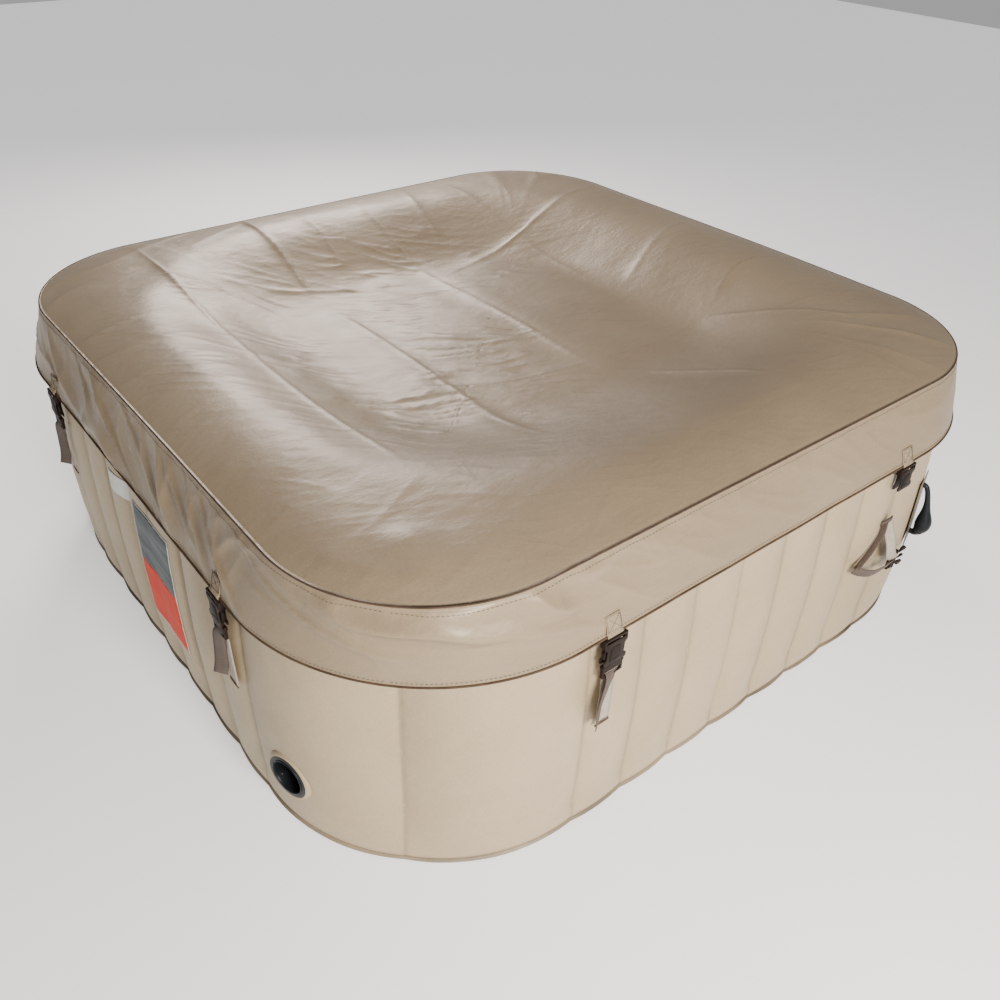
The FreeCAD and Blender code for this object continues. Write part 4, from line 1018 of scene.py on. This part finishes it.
def build_buckles(skirt):
    socket, plug = make_socket(), make_plug()
    for number in range(8):
        side, along = number // 2, STRAP_OFFSET if number % 2 else -STRAP_OFFSET
        shell = link(f"socket_{number + 1}", socket.data)
        settle(put(shell, side, along), "cover", "buckle_plastic", "buckle_sockets")
        build_cover_strap(skirt, side, along)
        half = link(f"plug_half_{number + 1}", plug.data)
        if number == OPEN_BUCKLE:
            hang_open_plug(half, side, along)
            continue
        settle(put(half, side, along), f"plug_{number + 1}", "buckle_plastic", f"buckle_plug_{number + 1}")
        build_wall_strap(number, side, along)
    for thing in (socket, plug):
        bpy.data.objects.remove(thing)


def build_cover_strap(skirt, side, along):
    """The cover's strap, sewn to the skirt and looped round the socket's bar."""
    heights = np.linspace(0.545, 0.5135, 9)
    outs = [skirt_face(skirt, side, along, up) + 0.0018 for up in heights]
    slot_out = BUCKLE_BACK + 0.0075
    path = [(out, 0, up) for out, up in zip(outs, heights)]
    path += [(slot_out + 0.0016, 0, SOCKET_HIGH + 0.0035), (slot_out, 0, SOCKET_HIGH - 0.002)]
    cloth = strap("cover_strap", curve_through(path, 40), (0, 1, 0), 0.036, STRAP_CLOTH)
    settle(put(cloth, side, along), "cover", "webbing", "cover_straps")

    def face(up):
        return np.interp(up, heights[::-1], outs[::-1]) + 0.0012

    settle(put(cross_stitched_box(face, 0.5165, 0.543, 0.0155), side, along), "cover", "binding")


def build_wall_strap(number, side, along):
    """The webbing from the wall up through the plug, and its loose end hanging beside it."""
    face, back, foot = WALL_FACE, BUCKLE_BACK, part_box("buckle_plug_1")[0].z
    body = f"plug_{number + 1}"
    sway = 0.004 * math.sin(number * 2.1)
    path = curve_through([
        (face + 0.0012, 0, 0.288), (face + 0.0022, sway, 0.32), (face + 0.0042, sway, 0.37),
        (face + 0.004, 0, 0.405), (back + 0.0045, 0, foot + 0.008), (back + 0.0085, 0, foot + 0.0105),
    ], 50)
    web = put(strap(f"webbing_{number + 1}", path, (0, 1, 0), 0.032, WEBBING), side, along)
    spin = Matrix.Rotation(side * math.pi / 2, 3, "Z")
    start, end = (tuple(spin @ Vector((face, along, up))) for up in (0.3, 0.405))
    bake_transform(web)
    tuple(start)
    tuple(end)
    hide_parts("wall_webbing")
    tip = 0.306 + 0.012 * math.sin(number * 1.7)
    tail = curve_through([
        (back + 0.0085, 0.000, foot + 0.0085), (back + 0.012, -0.004, foot - 0.004),
        (back + 0.01, -0.013, foot - 0.045), (back + 0.0095, -0.02, tip + 0.03),
        (back + 0.013, -0.025, tip),
    ], 40)
    turn = np.linspace(0, 1, 40) ** 0.6 * math.radians(36)
    sideways = np.stack([-np.sin(turn), np.cos(turn), np.zeros(40)], -1)
    # the loose end uses the darkened webbing: painted shade
    loose = strap(f"loose_end_{number + 1}", tail, sideways, 0.03, SHADED_WEBBING)
    settle(put(loose, side, along), body, "webbing")
    stitched = cross_stitched_box(lambda up: face + 0.0026, 0.288, 0.2935, 0.014)
    bridge = [(face + 0.0018, -0.017, 0.2865), (face + 0.0024, 0, 0.2865), (face + 0.0018, 0.017, 0.2865)]
    tack = strap("tack", bridge, (0, 0, 1), 0.0045, BINDING, 0.0016)
    settle(put(stitched, side, along), "tub", "binding")
    settle(put(tack, side, along), "tub", "binding")


def hang_open_plug(half, side, along):
    """The plug that has been let go: it hangs sideways from its webbing, low on the wall."""
    face, body, node = WALL_FACE, f"plug_{OPEN_BUCKLE + 1}", f"buckle_plug_{OPEN_BUCKLE + 1}"
    box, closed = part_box(node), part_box("buckle_plug_1")
    middle = Vector(((closed[0].x + closed[1].x) / 2, 0, (closed[0].z + closed[1].z) / 2))
    hung = (box[0] + box[1]) / 2
    turned = Matrix.Rotation(OPEN_TURN, 4, "X")
    half.matrix_basis = Matrix.Translation(hung) @ turned @ Matrix.Translation(-middle)
    settle(half, body, "buckle_plastic", node)
    loop = Vector((face + 0.001, along - 0.006, 0.355))
    low_out = box[1].x
    base = Vector((low_out - 0.004, box[0].y + 0.012, hung.z))
    web = strap("open_webbing", curve_through([
        loop + Vector((0.001, 0.004, 0.002)), loop + Vector((0.008, 0.014, -0.03)),
        (low_out + 0.002, along + 0.022, 0.285), (low_out + 0.004, along + 0.035, 0.245),
        base + Vector((0.006, 0.004, 0.014)), base + Vector((0.002, 0.002, 0.004)),
    ], 60), (0.12, 0.96, 0.25), 0.03, WEBBING)
    # the loose end uses the darkened webbing: painted shade
    loose = strap("open_loose_end", curve_through([
        base + Vector((0.004, 0.004, 0.000)), base + Vector((0.007, -0.02, 0.004)),
        (low_out + 0.006, along - 0.03, 0.228), (low_out + 0.001, along - 0.075, 0.246),
        (face + 0.008, along - 0.1, 0.262),
    ], 50), (0.35, 0.25, 0.9), 0.024, SHADED_WEBBING)
    settle(loose, body, "webbing")
    # the strand uses the darkened webbing: painted shade
    strand = strap("open_strand", curve_through([
        loop + Vector((0.002, -0.004, -0.002)), (face + 0.01, along - 0.026, 0.33),
        (face + 0.011, along - 0.058, 0.295), (face + 0.01, along - 0.096, 0.264),
    ], 40), (0.96, 0.16, 0.2), 0.014, SHADED_WEBBING)
    for piece in (web, strand):
        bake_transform(piece)
    # the tab uses the darkened webbing: painted shade
    tab = strap("open_tab", curve_through([
        (face + 0.0006, along - 0.022, 0.35), (face + 0.007, along - 0.01, 0.357),
        (face + 0.008, along + 0.004, 0.359), (face + 0.0006, along + 0.016, 0.354),
    ], 24), (0.1, 0, 1), 0.012, SHADED_WEBBING, 0.0016)
    settle(tab, "tub", "webbing")
    tack = cross_stitched_box(lambda up: face + 0.002, 0.35, 0.358, 0.013)
    settle(put(tack, side, along), "tub", "binding")


# ---- Fittings ----
def build_handles():
    """A moulded grab handle at each of two opposite corners, thickest low down, as a drop is."""
    low, high = (corner.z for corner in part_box("carry_handles"))
    turn, skin = math.radians(20), FOOT_RADIUS + BULGE
    top = (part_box("carry_handles")[1].x - CENTRE) / math.cos(turn) - skin
    out = Vector((math.cos(turn), math.sin(turn), 0))
    path = curve_through([Vector((CENTRE, CENTRE, up)) + out * (skin + away) for away, up in (
        (-0.002, high - 0.004), (0.012, high - 0.01), (top - 0.021, high - 0.04), (top - 0.016, high - 0.08),
        (top - 0.015, low + 0.036), (0.016, low + 0.012), (-0.002, low + 0.01),
    )], 40)
    radii = 0.006 + 0.013 * bell((np.linspace(0, 1, 40) - 0.64) / 0.17)
    loops = [tube("grip", path * [sign, sign, 1], radii, BLACK_PLASTIC, 18) for sign in (1, -1)]
    settle(join("grab_handles", loops), "tub", "black_plastic", "carry_handles")


def wall_strip(name, low, high, left, right, lift, material):
    """A thin printed sheet that follows the ribs of the -Y side."""
    rows = columns = 24
    chamber = 3 * QUARTER + (np.linspace(left, right, columns) / CENTRE + 1) / 2 * RIBS
    shares = np.linspace(0, 1, 400)
    _, heights = section_point(OUTER_SECTION, shares)
    share = np.interp(np.linspace(low, high, rows), heights, shares)
    share, chamber = np.meshgrid(share, chamber, indexing="ij")
    points = wall_surface(chamber, share)
    _, out = outline(chamber, FOOT_HALF, FOOT_RADIUS)
    points[..., :2] += out * lift
    return thicken(add_mesh(name, points, grid_faces(rows, columns), material), 0.0006, offset=1)


def build_labels():
    """The blank safety panel, grey over orange with a pale border, and a small pale tag."""
    left, right, (low, high), split, edge = -0.01, 0.17, LABEL_HEIGHTS, 0.3, 0.0035
    for name, *span, lift, material in (
        ("label_border", low, high, left, right, 0.0008, LABEL_EDGE),
        ("label_upper", split, high - edge, left + edge, right - edge, 0.0016, LABEL_GREY),
        ("label_lower", low + edge, split - 0.001, left + edge, right - edge, 0.0016, LABEL_ORANGE),
        ("label_small", 0.4, 0.45, -0.145, -0.065, 0.0008, LABEL_EDGE),
    ):
        settle(wall_strip(name, *span, lift, material), "tub", "label", "label_sheets")


def build_drain_collar():
    """The soft vinyl collar on the curved wall, and the drain's black rim and lip inside it."""
    out = Vector((math.cos(DRAIN_ANGLE), math.sin(DRAIN_ANGLE), 0))
    across = Vector((-out.y, out.x, 0))
    place = Matrix((across, Vector((0, 0, 1)), out)).transposed().to_4x4()
    place.translation = Vector((CENTRE, -CENTRE, DRAIN_HEIGHT))
    face = FOOT_RADIUS + 0.0222
    profile = [
        (0.045, face - 0.0012), (0.0476, face - 0.0002), (0.0492, face - 0.001), (0.052, face - 0.004),
        (0.057, face - 0.012), (0.045, face - 0.012),
    ]
    collar = lathe("drain_collar", profile + profile[:1], place, WALL_VINYL)
    add_values(collar, "crease_shade", np.zeros(len(collar.data.vertices)))
    settle(collar, "tub", "wall_vinyl")
    rim = [
        (0.0362, face - 0.004), (0.0362, face - 0.0006), (0.0374, face + 0.0002), (0.0462, face + 0.0002),
        (0.048, face - 0.0012), (0.048, face - 0.004),
    ]
    settle(lathe("drain_rim", rim + rim[:1], place, BLACK_PLASTIC), "tub", "black_plastic", "drain_flange")
    ring = [place @ Vector((0.037 * math.cos(a), 0.037 * math.sin(a), face + 0.0004)) for a in circle(60)]
    settle(tube("drain_lip", ring, 0.0016, BLACK_PLASTIC, 8, closed=True), "tub", "black_plastic")


# ---- Room and lights ----
def build_room():
    shader = Shader("pale_floor", 0.6, Emission_Color=(1.0, 1.0, 1.0, 1.0), Emission_Strength=0.45)
    shader.colour(shader.ramp(shader.noise(2.0, 2.0), [(0.3, (0.86, 0.86, 0.86)), (0.7, (0.89, 0.89, 0.89))]))
    corners = [(-9, -9, 0), (9, -9, 0), (9, 9, 0), (-9, 9, 0)]
    floor = add_mesh("floor", corners, [(0, 1, 2, 3)], shader.material)
    floor.location.z = -0.0005
    world = bpy.data.worlds.new("studio")
    bpy.context.scene.world = world
    world.use_nodes = True
    background = world.node_tree.nodes["Background"]
    background.inputs["Color"].default_value = (1.0, 0.995, 0.985, 1)
    background.inputs["Strength"].default_value = 0.4
    for name, place, aim, size, power, colour in (
        ("key", (3.4, -0.95, 1.75), (0.3, -0.1, 0.35), (1.0, 0.9), 225, (1.0, 0.965, 0.91)),
        ("window", (-2.7, 1.0, 2.15), (-0.1, -0.3, 0.58), (1.3, 0.9), 95, (1.0, 0.9, 0.84)),
    ):
        data = bpy.data.lights.new(name, "AREA")
        data.shape, data.energy, data.color = "RECTANGLE", power, colour
        data.size, data.size_y = size
        link(name, data).matrix_world = aimed(place, aim)


build_room()
build_wall()
build_baffles()
build_base()
build_bubble_ring()
cloth, skirt = build_cover()
build_cover_trim(skirt)
build_buckles(skirt)
build_handles()
build_labels()
build_drain_collar()
